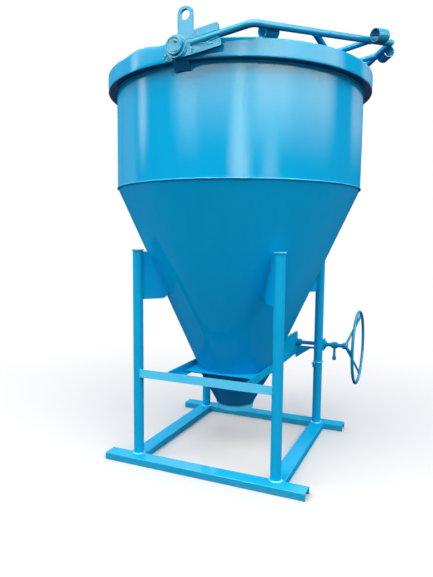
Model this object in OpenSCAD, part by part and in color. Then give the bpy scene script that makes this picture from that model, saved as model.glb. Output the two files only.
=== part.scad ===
// Concrete bucket: a drum and cone hopper on a welded stand, with a folding lifting bail,
// a slide gate driven by racks and pinions, a handwheel, and a funnel with a spout.
// X points to the handwheel side, Y to the rear and Z up. The origin is on the floor, on the hopper's axis.

/* [Hopper] */
// Outside radius of the drum
drum_r = 600; // [560:1:640]
// Plate of the drum
drum_wall = 6; // [4:0.5:10]
// Height of the drum
drum_h = 519; // [420:1:620]
// Height of the cone from its foot to the seam with the drum
cone_h = 900; // [840:1:960]
// Outside radius of the cone's foot
cone_foot_r = 194; // [184:1:204]
// Plate of the cone, square to its slope
cone_wall = 6; // [4:0.5:10]

/* [Rim and lugs] */
// Height of the rolled channel round the rim
rim_h = 73; // [66:1:90]
// Depth of that channel, from the drum to the outside of its web
rim_d = 40; // [36:1:50]
// Wall of that channel
rim_wall = 6; // [4:0.5:8]
// Width of a lifting lug
lug_w = 66; // [60:1:90]
// Plate of a lifting lug
lug_t = 12; // [8:0.5:16]
// Radius of the eye in a lug
lug_eye_r = 20; // [16:0.5:24]
// Height of a lug above the rim
lug_above = 148; // [130:1:180]
// Length of a lug welded inside the drum
lug_below = 200; // [120:1:260]

/* [Bail] */
// Radius of the trunnion pins
pin_r = 20; // [16:0.5:22]
// Drop of the pin's axis below the rim's top
pin_drop = 32; // [28:1:36]
// Outside radius of the bail's hubs
hub_r = 42; // [38:0.5:46]
// Length of a hub along the pin
hub_len = 32; // [28:1:40]
// Diameter of the bail's bars
bar_d = 27; // [24:1:30]
// Distance from the pin's axis to the knee, where leg and rafter meet
knee_s = 303; // [290:1:316]
// How far the legs toe in from hub to knee
toe_in = 33; // [20:1:40]
// Distance from the pin's axis to the apex
apex_s = 726; // [700:1:780]
// Radius of the bend at the knee, on the bar's axis
bend_r = 45; // [40:1:70]
// Distance from the pin's axis to the cross bar
cross_s = 474; // [450:1:500]
// Diameter of the struts between cross bar and rafters
strut_d = 24; // [18:1:28]
// Distance of a strut from the middle
strut_y = 100; // [80:1:120]
// Outside radius of the pipe sleeves on the rafters
sleeve_r = 28; // [26:0.5:29]
// Wall of the sleeves
sleeve_wall = 4; // [2.5:0.5:6]
// Length of a sleeve
sleeve_len = 63; // [54:1:80]
// Height of the fork plates that hold the bars
fork_h = 87; // [84:1:110]
// Length of the fork plates from the pin's axis
fork_len = 178; // [160:1:196]
// Plate of the forks
fork_t = 10; // [6:0.5:14]

/* [Stand] */
// Height of the pipe posts above the skids
post_h = 989; // [960:1:1010]
// Outside diameter of the posts
post_d = 48.3; // [42:0.1:60]
// Wall of the posts
post_wall = 3.6; // [2.5:0.1:5]
// Bearing of the posts from the X axis, seen from above
post_bearing = 48.5; // [47:0.1:50]
// Width of the gussets at their top, from post to cone
gusset_top_w = 39; // [30:1:50]
// Height of the gussets
gusset_h = 228; // [180:1:260]
// Plate of the gussets
gusset_t = 8; // [5:0.5:12]
// Width of the skid channels
skid_w = 75; // [65:1:90]
// Height of the skid channels
skid_h = 34; // [28:1:40]
// Wall of the skid channels
skid_wall = 5; // [4:0.5:7]
// Length of a skid beyond each post's axis
skid_over = 149; // [100:1:200]
// Leg of the angles for the rails
angle_leg = 40; // [36:1:45]
// Wall of those angles
angle_wall = 5; // [4:0.5:6]
// Height of the rails above the floor
rail_z = 407; // [390:1:430]

/* [Gate and funnel] */
// Plate of the gate
gate_t = 8; // [6:0.5:12]
// Width of the racks and pinions
rack_w = 24; // [18:1:26]
// Tooth module of the racks and pinions
tooth_module = 5; // [4.5:0.1:5.4]
// Teeth of a pinion
pinion_teeth = 16; // [16:1:17]
// Diameter of the drive shaft
shaft_d = 22; // [20:0.5:28]
// Plate of the cheeks that carry the shaft
cheek_t = 8; // [6:0.5:10]
// Outside radius of the shaft bushes
bush_r = 20; // [18:0.5:22]
// Length of a bush
bush_len = 28; // [22:1:34]
// Height of the funnel below its flange
funnel_h = 176; // [130:1:190]
// Outside radius of the funnel's top
funnel_r = 193; // [186:1:200]
// Outside radius of the spout
spout_r = 95; // [80:1:110]
// Length of the spout
spout_h = 25; // [20:1:60]
// Plate of the funnel and spout
funnel_wall = 5; // [3:0.5:8]

/* [Handwheel] */
// Radius of the wheel on its rim's axis
wheel_r = 200; // [170:1:215]
// Diameter of the rim's rod
wheel_rod_d = 16; // [14:0.5:20]
// Diameter of the spokes
spoke_d = 13; // [10:0.5:15]
// Number of spokes
spoke_count = 3; // [3:1:5]
// Distance of the rim's plane in front of the hub's middle
wheel_dish = 70; // [50:1:80]
// Radius of the wheel's hub
wheel_hub_r = 18; // [17:0.5:28]
// Length of the drop link below the shaft
link_len = 75; // [60:1:90]

/* [Hidden] */

$fn = 96;
cope_fn = 360;
arc_steps = 5;
bend_steps = 10;
bar_sides = 24;
paint = [0.08, 0.60, 0.80];
paint_lit = [0.25, 0.74, 0.90];
paint_shade = [0.02, 0.42, 0.62];

// Clearances, and the overrun of every cut
weld_gap = 0.2;
run_gap = 0.05;
slide_gap = 0.3;
seal_gap = 0.7;
rest_gap = 0.4;
over = 2;

// Small sizes of the rim, lugs and trunnions
rim_corner_r = 5;
lug_corner_r = 26;
lug_foot_r = 8;
eye_drop = 31;
hub_side_gap = 6;
head_r = 33;
head_t = 8;
head_chamfer = 2;
bracket_w = 70;
bracket_d = 34;
bracket_h = 30;
bracket_toe = 6;

// Small sizes and places of the bail
fork_root_s = 50;
fork_slot_s = 58;
fork_corner_r = 8;
hook_back = 115;
rest_sleeve_share = 0.14;

// Small sizes of the stand
cap_r = 29;
cap_t = 5;
gusset_drop = 5;
gusset_corner_r = 30;
skid_inset = 5;
skid_corner_r = 5;
side_bar_out = 5;
angle_root_r = 5;
angle_toe_r = 2.5;
front_rail_out = 20;
front_rail_rise = 9;
clip_leg = 30;
clip_wall = 4;
clip_w = 26;
clip_out = 12;
clip_z = 388;

// Small sizes and places of the gate, its drive and the funnel
gate_side_lap = 5.6;
gate_front_lap = 30;
gate_tail = 35;
gate_bevel = 12;
rail_tail = 95;
rack_base_h = 10.4;
rack_side = 15;
rack_cone_gap = 5;
rack_inset = 5;
rack_addendum_share = 0.9;
dedendum_share = 1.25;
pressure_angle = 20;
tooth_play = 0.4;
mesh_relief = 0.15;
flank_steps = 4;
pinion_boss_r = 22;
pinion_boss_len = 14;
shaft_clear = 33.5;
shaft_chamfer = 1.5;
shaft_end = 12;
cheek_above = 61;
cheek_tail = 30;
cheek_corner_r = 20;
outrigger_len = 159;
outrigger_t = 8;
outrigger_root_h = 72;
outrigger_tip_h = 12;
outrigger_taper = 86;
outrigger_gap = 1;
bearing_t = 8;
bearing_w = 60;
bearing_above = 33;
bearing_corner_r = 20;
flange_r = 205;
flange_t = 5;

// Small sizes and places of the handwheel and the drop link
collar_r = 18;
collar_w = 11;
link_out = 47;
link_t = 10;
link_w = 24;
link_eye_r = 19;
link_foot_len = 18;
wheel_out = 61;
wheel_hub_len = 28;

// Heights of the hopper
gate_z = rail_z + angle_wall + slide_gap;
gate_top_z = gate_z + gate_t;
cone_foot_z = gate_top_z + seal_gap;
seam_z = cone_foot_z + cone_h;
rim_top_z = seam_z + drum_h;
rail_top_z = rail_z + angle_leg;
pivot_z = rim_top_z - pin_drop;

// Slope of the cone, and its radius and wall on a level cut
cone_slope = (drum_r - cone_foot_r) / cone_h;
cone_stretch = norm([1, cone_slope]);
outlet_r = cone_foot_r - cone_wall * cone_stretch;
function cone_r(z) = cone_foot_r + (z - cone_foot_z) * cone_slope;

// Places of the rim, lugs and pins
rim_r = drum_r + rim_d;
lug_seat = sqrt(pow(drum_r - drum_wall, 2) - pow(lug_w / 2, 2)) - weld_gap;
eye_z = rim_top_z + lug_above - eye_drop;
hub_y = rim_r + hub_side_gap;
leg_y = hub_y + hub_len / 2;
head_y = hub_y + hub_len + rest_gap;

// The bail's own plane: s runs from the pin's axis to the apex, y along the axis
bar_r = bar_d / 2;
knee = [knee_s, leg_y - toe_in];
apex = [apex_s, 0];
rafter_len = norm(apex - knee);
toe_turn = atan2(toe_in, knee_s);
leg_dir = [cos(toe_turn), -sin(toe_turn)];
leg_out = [sin(toe_turn), cos(toe_turn)];
rafter_turn = atan2(knee.y, apex_s - knee_s);
rafter_dir = [cos(rafter_turn), -sin(rafter_turn)];
rafter_out = [sin(rafter_turn), cos(rafter_turn)];
bend_turn = rafter_turn - toe_turn;
bend_tangent = bend_r * tan(bend_turn / 2);
bend_mid = knee - leg_dir * bend_tangent - leg_out * bend_r;
sleeve_side = bar_r + sleeve_r + weld_gap;
hook_centre = apex - rafter_dir * hook_back + rafter_out * sleeve_side;
rest_centre = knee + rafter_dir * rafter_len * rest_sleeve_share - rafter_out * sleeve_side;

// Fold angle at which the low ends of the rest sleeves lie on the rim
rest_s = rest_centre.x - sleeve_len / 2 * rafter_dir.x;
rest_rise = pin_drop + rest_gap;
rest_square = rest_s * rest_s + pow(sleeve_r * rafter_dir.x, 2);
rest_root = sqrt(pow(rest_s * rest_rise, 2) - rest_square * (pow(rest_rise, 2) - pow(sleeve_r, 2)));
fold_angle = asin((rest_s * rest_rise + rest_root) / rest_square);

// Places of the stand
post_r = post_d / 2;
post_top_z = skid_h + post_h;
gusset_top_z = post_top_z - gusset_drop;
post_ring_r = cone_r(gusset_top_z) + gusset_top_w + post_r;
post_x = post_ring_r * cos(post_bearing);
post_y = post_ring_r * sin(post_bearing);
skid_inner_y = post_y - skid_inset;
front_rail_y = post_y + front_rail_out;
front_rail_z = rail_z + front_rail_rise;

// Places of the gate and its drive
gate_half_w = outlet_r + gate_side_lap;
rail_x = gate_half_w + angle_root_r + angle_wall;
shaft_r = shaft_d / 2;
shaft_y = post_y + post_r + shaft_r + shaft_clear;
tooth_pitch = PI * tooth_module;
pitch_r = pinion_teeth * tooth_module / 2;
rack_root_z = gate_top_z + rack_base_h;
rack_pitch_z = rack_root_z + tooth_module * dedendum_share;
rack_tip_z = rack_pitch_z + tooth_module * rack_addendum_share;
shaft_z = rack_pitch_z + pitch_r + mesh_relief;
rack_x = gate_half_w - rack_side;
rack_inner_x = rack_x - rack_w / 2;
rack_front = sqrt(pow(cone_r(rack_tip_z), 2) - pow(rack_inner_x, 2)) + rack_cone_gap;
gate_rear = shaft_y + gate_tail;
rack_rear = gate_rear - rack_inset;
bush_in_x = rail_x - cheek_t;
bush_out_x = bush_in_x + bush_len;
bearing_x = rail_x + outrigger_len;
outrigger_top_z = shaft_z - bush_r - outrigger_gap;
bearing_out_x = bearing_x + bearing_t / 2 + bush_len / 2;
link_x = bearing_out_x + link_out;
wheel_x = link_x + wheel_out;

// Rounds an outline's corners with arcs of the radii given
function unit(v) = v / norm(v);
function short_turn(a) = a > 180 ? a - 360 : a < -180 ? a + 360 : a;
function arc(mid, r, start, turn) =
    [for (i = [0:arc_steps]) mid + r * [cos(start + turn * i / arc_steps), sin(start + turn * i / arc_steps)]];
function corner(a, b, c, r) =
    let (
        u = unit(a - b),
        v = unit(c - b),
        half = acos(u * v) / 2,
        mid = b + unit(u + v) * r / sin(half),
        first = b + u * r / tan(half) - mid,
        last = b + v * r / tan(half) - mid,
        start = atan2(first.y, first.x)
    )
    r == 0 ? [b] : arc(mid, r, start, short_turn(atan2(last.y, last.x) - start));
function rounded(p, radii) =
    let (n = len(p))
    [for (i = [0:n - 1]) each corner(p[(i + n - 1) % n], p[i], p[(i + 1) % n], radii[i])];

// Turns a shape's Z axis to X or Y
module along_x() {
    rotate([0, 90, 0]) children();
}

module along_y() {
    rotate([-90, 0, 0]) children();
}

// Stands an outline of (y, z) up and runs it along X, on both sides of the middle
module run_x(length) {
    rotate([90, 0, 90]) linear_extrude(length, center = true) children();
}

// Stands an outline of (x, z) up and runs it along Y, on both sides of the middle
module run_y(length) {
    rotate([90, 0, 0]) linear_extrude(length, center = true) children();
}

// Pieces in pairs are drawn at the rear or on the right, and mirrored
module place_front(front) {
    if (front) mirror([0, 1, 0]) children();
    else children();
}

module place_left(left) {
    if (left) mirror([1, 0, 0]) children();
    else children();
}

module tube(r, wall, length) {
    difference() {
        cylinder(r = r, h = length);
        translate([0, 0, -over]) cylinder(r = r - wall, h = length + 2 * over);
    }
}

module bushing(r, bore, length) {
    tube(r, r - bore, length);
}

// Rolled angle with its corner at the origin and its legs along +x and +y
module angle_outline(leg, wall) {
    outline = [[0, 0], [leg, 0], [leg, wall], [wall, wall], [wall, leg], [0, leg]];
    polygon(rounded(outline, [0, 0, angle_toe_r, angle_root_r, angle_toe_r, 0]));
}

// Channel with its web up, standing on the x axis
module channel_outline() {
    half = skid_w / 2;
    inner = half - skid_wall;
    under = skid_h - skid_wall;
    outline = [
        [-half, 0], [-inner, 0], [-inner, under], [inner, under],
        [inner, 0], [half, 0], [half, skid_h], [-half, skid_h]
    ];
    polygon(rounded(outline, [0, 0, 0, 0, 0, 0, skid_corner_r, skid_corner_r]));
}

// Outside of the cone with a gap round it, to cope what is welded to it
module cone_cope() {
    gap = weld_gap * cone_stretch;
    translate([0, 0, cone_foot_z])
        cylinder(r1 = cone_foot_r + gap, r2 = drum_r + gap, h = cone_h, $fn = cope_fn);
}

// Hopper
module drum() {
    color(paint) translate([0, 0, seam_z]) tube(drum_r, drum_wall, drum_h);
}

module cone() {
    wall = cone_wall * cone_stretch;
    outline = [
        [cone_foot_r - wall, cone_foot_z], [cone_foot_r, cone_foot_z],
        [drum_r, seam_z], [drum_r - wall, seam_z]
    ];
    color(paint) rotate_extrude() polygon(outline);
}

module rim_ring() {
    inner = drum_r + weld_gap;
    web = rim_r - rim_wall;
    low = rim_top_z - rim_h;
    outline = [
        [inner, low], [rim_r, low], [rim_r, rim_top_z], [inner, rim_top_z],
        [inner, rim_top_z - rim_wall], [web, rim_top_z - rim_wall],
        [web, low + rim_wall], [inner, low + rim_wall]
    ];
    color(paint_lit) difference() {
        rotate_extrude() polygon(rounded(outline, [0, rim_corner_r, rim_corner_r, 0, 0, 0, 0, 0]));
        for (front = [false, true]) {
            place_front(front) translate([0, drum_r, pivot_z]) along_y()
                cylinder(r = pin_r + weld_gap, h = rim_d + over);
        }
    }
}

module lug(front) {
    half = lug_w / 2;
    top = rim_top_z + lug_above;
    low = rim_top_z - lug_below;
    outline = [[-half, low], [half, low], [half, top], [-half, top]];
    color(paint_lit) place_front(front) translate([0, lug_seat - lug_t / 2, 0]) difference() {
        run_y(lug_t) polygon(rounded(outline, [lug_foot_r, lug_foot_r, lug_corner_r, lug_corner_r]));
        translate([0, -lug_t, eye_z]) along_y() cylinder(r = lug_eye_r, h = 2 * lug_t);
    }
}

module trunnion_pin(front) {
    start = drum_r + weld_gap;
    face = head_y + head_t;
    outline = [
        [0, start], [pin_r, start], [pin_r, head_y], [head_r, head_y],
        [head_r, face - head_chamfer], [head_r - head_chamfer, face], [0, face]
    ];
    color(paint_lit) place_front(front) translate([0, 0, pivot_z]) along_y()
        rotate_extrude() polygon(outline);
}

module rim_bracket(front) {
    top = rim_top_z - rim_h - weld_gap;
    back = drum_r + weld_gap;
    outline = [
        [back, top], [drum_r + bracket_d, top],
        [drum_r + bracket_toe, top - bracket_h], [back, top - bracket_h]
    ];
    color(paint_shade) place_front(front) run_x(bracket_w) polygon(outline);
}

// Stand
module skid(front) {
    color(paint) place_front(front) translate([0, skid_inner_y + skid_w / 2, 0])
        run_x(2 * (post_x + skid_over)) channel_outline();
}

module side_bar(left) {
    color(paint) place_left(left) translate([post_x + side_bar_out, 0, 0])
        run_y(2 * (skid_inner_y - weld_gap)) channel_outline();
}

module post(front, left) {
    color(paint) place_front(front) place_left(left) translate([post_x, post_y, skid_h])
        tube(post_r, post_wall, post_h);
}

module post_caps() {
    color(paint_lit) for (front = [false, true], left = [false, true]) {
        place_front(front) place_left(left) translate([post_x, post_y, post_top_z])
            cylinder(r = cap_r, h = cap_t);
    }
}

module gusset(front, left) {
    gap = weld_gap * cone_stretch;
    low = gusset_top_z - gusset_h;
    post_side = post_ring_r - post_r - weld_gap;
    outline = [
        [post_side, low], [post_side, gusset_top_z],
        [cone_r(gusset_top_z) + gap, gusset_top_z], [cone_r(low) + gap, low]
    ];
    color(paint) place_front(front) place_left(left) rotate([0, 0, post_bearing])
        run_y(gusset_t) polygon(rounded(outline, [0, 0, 0, gusset_corner_r]));
}

module front_rail() {
    color(paint) difference() {
        translate([0, -front_rail_y, front_rail_z]) run_x(2 * post_x)
            angle_outline(angle_leg, angle_wall);
        for (left = [false, true]) {
            place_front(true) place_left(left) translate([post_x, post_y, front_rail_z - over])
                cylinder(r = post_r + weld_gap, h = angle_leg + 2 * over);
        }
    }
}

module post_clip() {
    back = post_y - post_r - weld_gap;
    color(paint_lit) translate([post_x - clip_out, back, clip_z]) run_x(clip_w)
        rotate(180) angle_outline(clip_leg, clip_wall);
}

module gate_rail(left) {
    front = -front_rail_y + angle_leg + weld_gap;
    rear = shaft_y + rail_tail;
    color(paint) place_left(left) difference() {
        translate([rail_x, (front + rear) / 2, rail_z]) run_y(rear - front)
            mirror([1, 0, 0]) angle_outline(angle_leg, angle_wall);
        cone_cope();
        translate([0, 0, rail_z - over]) cylinder(r = outlet_r, h = angle_leg);
    }
}

// Gate drive's carriers
module cheek(left) {
    rear = shaft_y + cheek_tail;
    top = shaft_z + cheek_above;
    low = rail_top_z + weld_gap;
    outline = [[0, low], [rear, low], [rear, top], [0, top]];
    color(paint) place_left(left) difference() {
        translate([rail_x - cheek_t / 2, 0, 0]) run_x(cheek_t)
            polygon(rounded(outline, [0, 0, cheek_corner_r, 0]));
        cone_cope();
        translate([bush_in_x - over, shaft_y, shaft_z]) along_x()
            cylinder(r = bush_r + weld_gap, h = cheek_t + 2 * over);
    }
}

module shaft_bushes() {
    color(paint_shade) {
        for (left = [false, true]) {
            place_left(left) translate([bush_in_x, shaft_y, shaft_z]) along_x()
                bushing(bush_r, shaft_r + run_gap, bush_len);
        }
        translate([bearing_out_x - bush_len, shaft_y, shaft_z]) along_x()
            bushing(bush_r, shaft_r + run_gap, bush_len);
    }
}

module outrigger() {
    root = rail_x + weld_gap;
    tip = bearing_x - weld_gap;
    tip_low = outrigger_top_z - outrigger_tip_h;
    outline = [
        [root, outrigger_top_z], [tip, outrigger_top_z], [tip, tip_low],
        [rail_x + outrigger_taper, tip_low], [root, outrigger_top_z - outrigger_root_h]
    ];
    color(paint_shade) translate([0, shaft_y, 0]) run_y(outrigger_t) polygon(outline);
}

module bearing_plate() {
    low = outrigger_top_z - outrigger_tip_h;
    top = shaft_z + bearing_above;
    near = shaft_y - bearing_w / 2;
    far = shaft_y + bearing_w / 2;
    outline = [[near, low], [far, low], [far, top], [near, top]];
    color(paint) difference() {
        translate([bearing_x + bearing_t / 2, 0, 0]) run_x(bearing_t)
            polygon(rounded(outline, [0, 0, bearing_corner_r, bearing_corner_r]));
        translate([bearing_x - over, shaft_y, shaft_z]) along_x()
            cylinder(r = bush_r + weld_gap, h = bearing_t + 2 * over);
    }
}

// Funnel
funnel_top_z = rail_z - weld_gap;
funnel_neck_z = funnel_top_z - flange_t;
funnel_foot_z = funnel_neck_z - funnel_h;

module lower_cone() {
    slope = (funnel_r - spout_r) / funnel_h;
    wall = funnel_wall * norm([1, slope]);
    outline = [
        [funnel_r - wall, funnel_top_z], [flange_r, funnel_top_z], [flange_r, funnel_neck_z],
        [funnel_r, funnel_neck_z], [spout_r, funnel_foot_z], [spout_r - wall, funnel_foot_z],
        [funnel_r - wall, funnel_neck_z]
    ];
    color(paint) rotate_extrude() polygon(outline);
}

module spout() {
    color(paint) translate([0, 0, funnel_foot_z - spout_h]) tube(spout_r, funnel_wall, spout_h);
}

// Bail
module bail_plane() {
    translate([0, 0, pivot_z]) rotate([0, -fold_angle, 0]) children();
}

// Straight bar on the rear rafter's line, from the bend to past the apex
module rafter_rod(r) {
    translate(knee + rafter_dir * bend_tangent) rotate([0, 0, -rafter_turn]) along_x()
        cylinder(r = r, h = rafter_len - bend_tangent + bar_d);
}

// Rings of points along the rear bar: leg, bend and rafter, with a mitre on the middle plane
function bar_ring(point, out) = [
    for (j = [0:bar_sides - 1])
        let (a = 360 * j / bar_sides, c = bar_r * cos(a))
        [point.x + out.x * c, point.y + out.y * c, bar_r * sin(a)]
];
function mitred(p) =
    let (t = (p.y - weld_gap / 2) / sin(rafter_turn))
    [p.x + rafter_dir.x * t, p.y + rafter_dir.y * t, p.z];
function bend_ring(i) =
    let (a = 90 - toe_turn - bend_turn * i / bend_steps, out = [cos(a), sin(a)])
    bar_ring(bend_mid + bend_r * out, out);

module bail_bar(front) {
    n = bar_sides;
    rings = bend_steps + 3;
    points = concat(
        bar_ring([0, leg_y] + leg_dir * (fork_slot_s + weld_gap), leg_out),
        [for (i = [0:bend_steps]) each bend_ring(i)],
        [for (p = bar_ring(apex, rafter_out)) mitred(p)]
    );
    sides = [
        for (k = [0:rings - 2], j = [0:n - 1])
            let (next = (j + 1) % n)
            [k * n + j, (k + 1) * n + j, (k + 1) * n + next, k * n + next]
    ];
    near_end = [for (j = [0:n - 1]) j];
    far_end = [for (j = [n - 1:-1:0]) (rings - 1) * n + j];
    color(paint_lit) bail_plane() place_front(front) polyhedron(points, concat(sides, [near_end, far_end]));
}

module bail_cross_bar() {
    reach = (apex_s - cross_s) * tan(rafter_turn);
    color(paint_lit) bail_plane() difference() {
        translate([cross_s, -reach, 0]) along_y() cylinder(r = bar_r, h = 2 * reach);
        for (front = [false, true]) {
            place_front(front) rafter_rod(bar_r + weld_gap);
        }
    }
}

module bail_strut(front) {
    reach = apex_s - strut_y / tan(rafter_turn);
    color(paint_lit) bail_plane() place_front(front) difference() {
        translate([cross_s, strut_y, 0]) along_x() cylinder(d = strut_d, h = reach - cross_s);
        translate([cross_s, 0, 0]) along_y() cylinder(r = bar_r + weld_gap, h = 2 * strut_y);
        rafter_rod(bar_r + weld_gap);
    }
}

module bail_sleeve(front, centre) {
    color(paint_lit) bail_plane() place_front(front) translate(centre) rotate([0, 0, -rafter_turn])
        along_x() translate([0, 0, -sleeve_len / 2]) tube(sleeve_r, sleeve_wall, sleeve_len);
}

module bail_end(front) {
    half = fork_h / 2;
    slot = bar_r + weld_gap;
    outline = [
        [0, -hub_r], [fork_root_s, -half], [fork_len, -half],
        [fork_len, half], [fork_root_s, half], [0, hub_r]
    ];
    color(paint_lit) bail_plane() place_front(front) translate([0, leg_y, 0]) difference() {
        union() {
            rotate([0, 0, -toe_turn]) difference() {
                run_y(fork_t) polygon(rounded(outline, [0, 0, fork_corner_r, fork_corner_r, 0, 0]));
                translate([fork_slot_s, -fork_t, -slot]) cube([fork_len, 2 * fork_t, 2 * slot]);
            }
            translate([0, -hub_len / 2, 0]) along_y() cylinder(r = hub_r, h = hub_len);
        }
        translate([0, -hub_len, 0]) along_y() cylinder(r = pin_r + run_gap, h = 2 * hub_len);
    }
}

// Gate
module gate_plate() {
    front = -cone_foot_r - gate_front_lap;
    outline = [
        [front, gate_top_z], [gate_rear, gate_top_z], [gate_rear, gate_z], [front + gate_bevel, gate_z]
    ];
    color(paint_lit) run_x(2 * gate_half_w) polygon(outline);
}

// Rack teeth, straight flanks at the pressure angle, with a tooth under the shaft when the gate is shut
module rack_outline() {
    half = tooth_pitch / 4 - tooth_play / 2;
    tip = half - tooth_module * rack_addendum_share * tan(pressure_angle);
    root = half + tooth_module * dedendum_share * tan(pressure_angle);
    first = ceil((rack_front + root - shaft_y) / tooth_pitch);
    last = floor((rack_rear - root - shaft_y) / tooth_pitch);
    teeth = [for (i = [first:last]) let (y = shaft_y + i * tooth_pitch) each [
        [y - root, rack_root_z], [y - tip, rack_tip_z], [y + tip, rack_tip_z], [y + root, rack_root_z]
    ]];
    ends = [
        [rack_rear, rack_root_z], [rack_rear, gate_top_z], [rack_front, gate_top_z], [rack_front, rack_root_z]
    ];
    polygon(concat(teeth, ends));
}

module rack(left) {
    color(paint_shade) place_left(left) translate([rack_x, 0, 0]) run_x(rack_w) rack_outline();
}

// Pinion teeth: involutes of the base circle, with a space under the shaft when the gate is shut
base_r = pitch_r * cos(pressure_angle);
tip_r = pitch_r + tooth_module;
root_r = pitch_r - tooth_module * dedendum_share;
function involute_angle(r) = sqrt(pow(r / base_r, 2) - 1) * 180 / PI - acos(base_r / r);
function half_tooth(r) =
    (tooth_pitch / 4 - tooth_play / 2) / pitch_r * 180 / PI + involute_angle(pitch_r) - involute_angle(r);
function polar(r, a) = r * [cos(a), sin(a)];
flank_radii = [for (i = [0:flank_steps]) base_r + (tip_r - base_r) * i / flank_steps];

function tooth_outline(a) = concat(
    [polar(root_r, a - half_tooth(base_r))],
    [for (i = [0:flank_steps]) polar(flank_radii[i], a - half_tooth(flank_radii[i]))],
    [for (i = [flank_steps:-1:0]) polar(flank_radii[i], a + half_tooth(flank_radii[i]))],
    [polar(root_r, a + half_tooth(base_r))]
);

module pinion(left) {
    step = 360 / pinion_teeth;
    outline = [for (i = [0:pinion_teeth - 1]) each tooth_outline((i + 0.5) * step - 90)];
    color(paint_shade) place_left(left) translate([rack_x, shaft_y, shaft_z]) difference() {
        union() {
            run_x(rack_w) polygon(outline);
            translate([-rack_w / 2 - pinion_boss_len, 0, 0]) along_x()
                cylinder(r = pinion_boss_r, h = pinion_boss_len + rack_w / 2);
        }
        translate([-rack_w / 2 - pinion_boss_len - over, 0, 0]) along_x()
            cylinder(r = shaft_r + run_gap, h = pinion_boss_len + rack_w + 2 * over);
    }
}

// Drive shaft and handwheel
module drive_shaft() {
    start = -bush_out_x - rest_gap - collar_w - shaft_end;
    end = wheel_x + wheel_hub_len / 2;
    outline = [
        [0, start], [shaft_r - shaft_chamfer, start], [shaft_r, start + shaft_chamfer],
        [shaft_r, end - shaft_chamfer], [shaft_r - shaft_chamfer, end], [0, end]
    ];
    color(paint) translate([0, shaft_y, shaft_z]) along_x() rotate_extrude() polygon(outline);
}

module shaft_collars() {
    beside_link = link_t / 2 + slide_gap;
    starts = [
        -bush_out_x - rest_gap - collar_w, bush_out_x + rest_gap,
        link_x - beside_link - collar_w, link_x + beside_link
    ];
    color(paint_shade) for (x = starts) {
        translate([x, shaft_y, shaft_z]) along_x() bushing(collar_r, shaft_r + run_gap, collar_w);
    }
}

module wheel_hub() {
    color(paint) translate([wheel_x - wheel_hub_len / 2, shaft_y, shaft_z]) along_x()
        bushing(wheel_hub_r, shaft_r + run_gap, wheel_hub_len);
}

module wheel_ring(rod_r) {
    translate([wheel_x + wheel_dish, shaft_y, shaft_z]) along_x()
        rotate_extrude() translate([wheel_r, 0]) circle(r = rod_r);
}

module wheel_spokes() {
    lean = atan2(wheel_dish, wheel_r);
    step = 360 / spoke_count;
    color(paint) for (i = [0:spoke_count - 1]) {
        difference() {
            translate([wheel_x, shaft_y, shaft_z]) rotate([90 + i * step, 0, 0]) rotate([0, lean, 0])
                cylinder(d = spoke_d, h = norm([wheel_r, wheel_dish]));
            translate([wheel_x - wheel_hub_len, shaft_y, shaft_z]) along_x()
                cylinder(r = wheel_hub_r + weld_gap, h = 2 * wheel_hub_len);
            wheel_ring(wheel_rod_d / 2 + weld_gap);
        }
    }
}

module wheel_rim() {
    color(paint) wheel_ring(wheel_rod_d / 2);
}

module drop_link() {
    half = link_w / 2;
    outline = [[-half, -link_len], [half, -link_len], [half, 0], [-half, 0]];
    color(paint) translate([link_x, shaft_y, shaft_z]) difference() {
        union() {
            run_x(link_t) union() {
                circle(r = link_eye_r);
                polygon(outline);
            }
            translate([-link_foot_len / 2, 0, -link_len]) along_x() cylinder(r = half, h = link_foot_len);
        }
        translate([-link_t, 0, 0]) along_x() cylinder(r = shaft_r + run_gap, h = 2 * link_t);
    }
}

drum();
cone();
rim_ring();
lug(true);  // lug_front
lug(false);  // lug_rear
trunnion_pin(true);  // trunnion_pin_front
trunnion_pin(false);  // trunnion_pin_rear
rim_bracket(true);  // rim_bracket_front
rim_bracket(false);  // rim_bracket_rear
skid(true);  // skid_front
skid(false);  // skid_rear
side_bar(true);  // side_bar_left
side_bar(false);  // side_bar_right
post(true, true);  // post_front_left
post(true, false);  // post_front_right
post(false, true);  // post_rear_left
post(false, false);  // post_rear_right
post_caps();
gusset(true, true);  // gusset_front_left
gusset(true, false);  // gusset_front_right
gusset(false, true);  // gusset_rear_left
gusset(false, false);  // gusset_rear_right
front_rail();
post_clip();
gate_rail(true);  // gate_rail_left
gate_rail(false);  // gate_rail_right
cheek(true);  // cheek_left
cheek(false);  // cheek_right
shaft_bushes();
outrigger();
bearing_plate();
lower_cone();
spout();
bail_bar(true);  // bail_bar_front
bail_bar(false);  // bail_bar_rear
bail_cross_bar();
bail_strut(true);  // bail_strut_front
bail_strut(false);  // bail_strut_rear
bail_sleeve(true, hook_centre);  // hook_sleeve_front
bail_sleeve(false, hook_centre);  // hook_sleeve_rear
bail_sleeve(true, rest_centre);  // rest_sleeve_front
bail_sleeve(false, rest_centre);  // rest_sleeve_rear
bail_end(true);  // bail_end_front
bail_end(false);  // bail_end_rear
gate_plate();
rack(true);  // rack_left
rack(false);  // rack_right
drive_shaft();
pinion(true);  // pinion_left
pinion(false);  // pinion_right
shaft_collars();
wheel_hub();
wheel_spokes();
wheel_rim();
drop_link();
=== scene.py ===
"""Dress the concrete bucket: enamel on plates and pipes, weld beads, small fittings, floor, light, camera.

Lengths are in metres, in the frame of the solids: X to the handwheel side, Y to the rear, Z up from the
floor. Bearings are in degrees round the hopper's axis, from X towards Y.
"""

from __future__ import annotations

import logging
import math
import random
from collections.abc import Callable, Iterable, Iterator, Sequence
from dataclasses import dataclass
from enum import Enum
from functools import cache

import bpy
from mathutils import Matrix, Vector, noise

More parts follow.
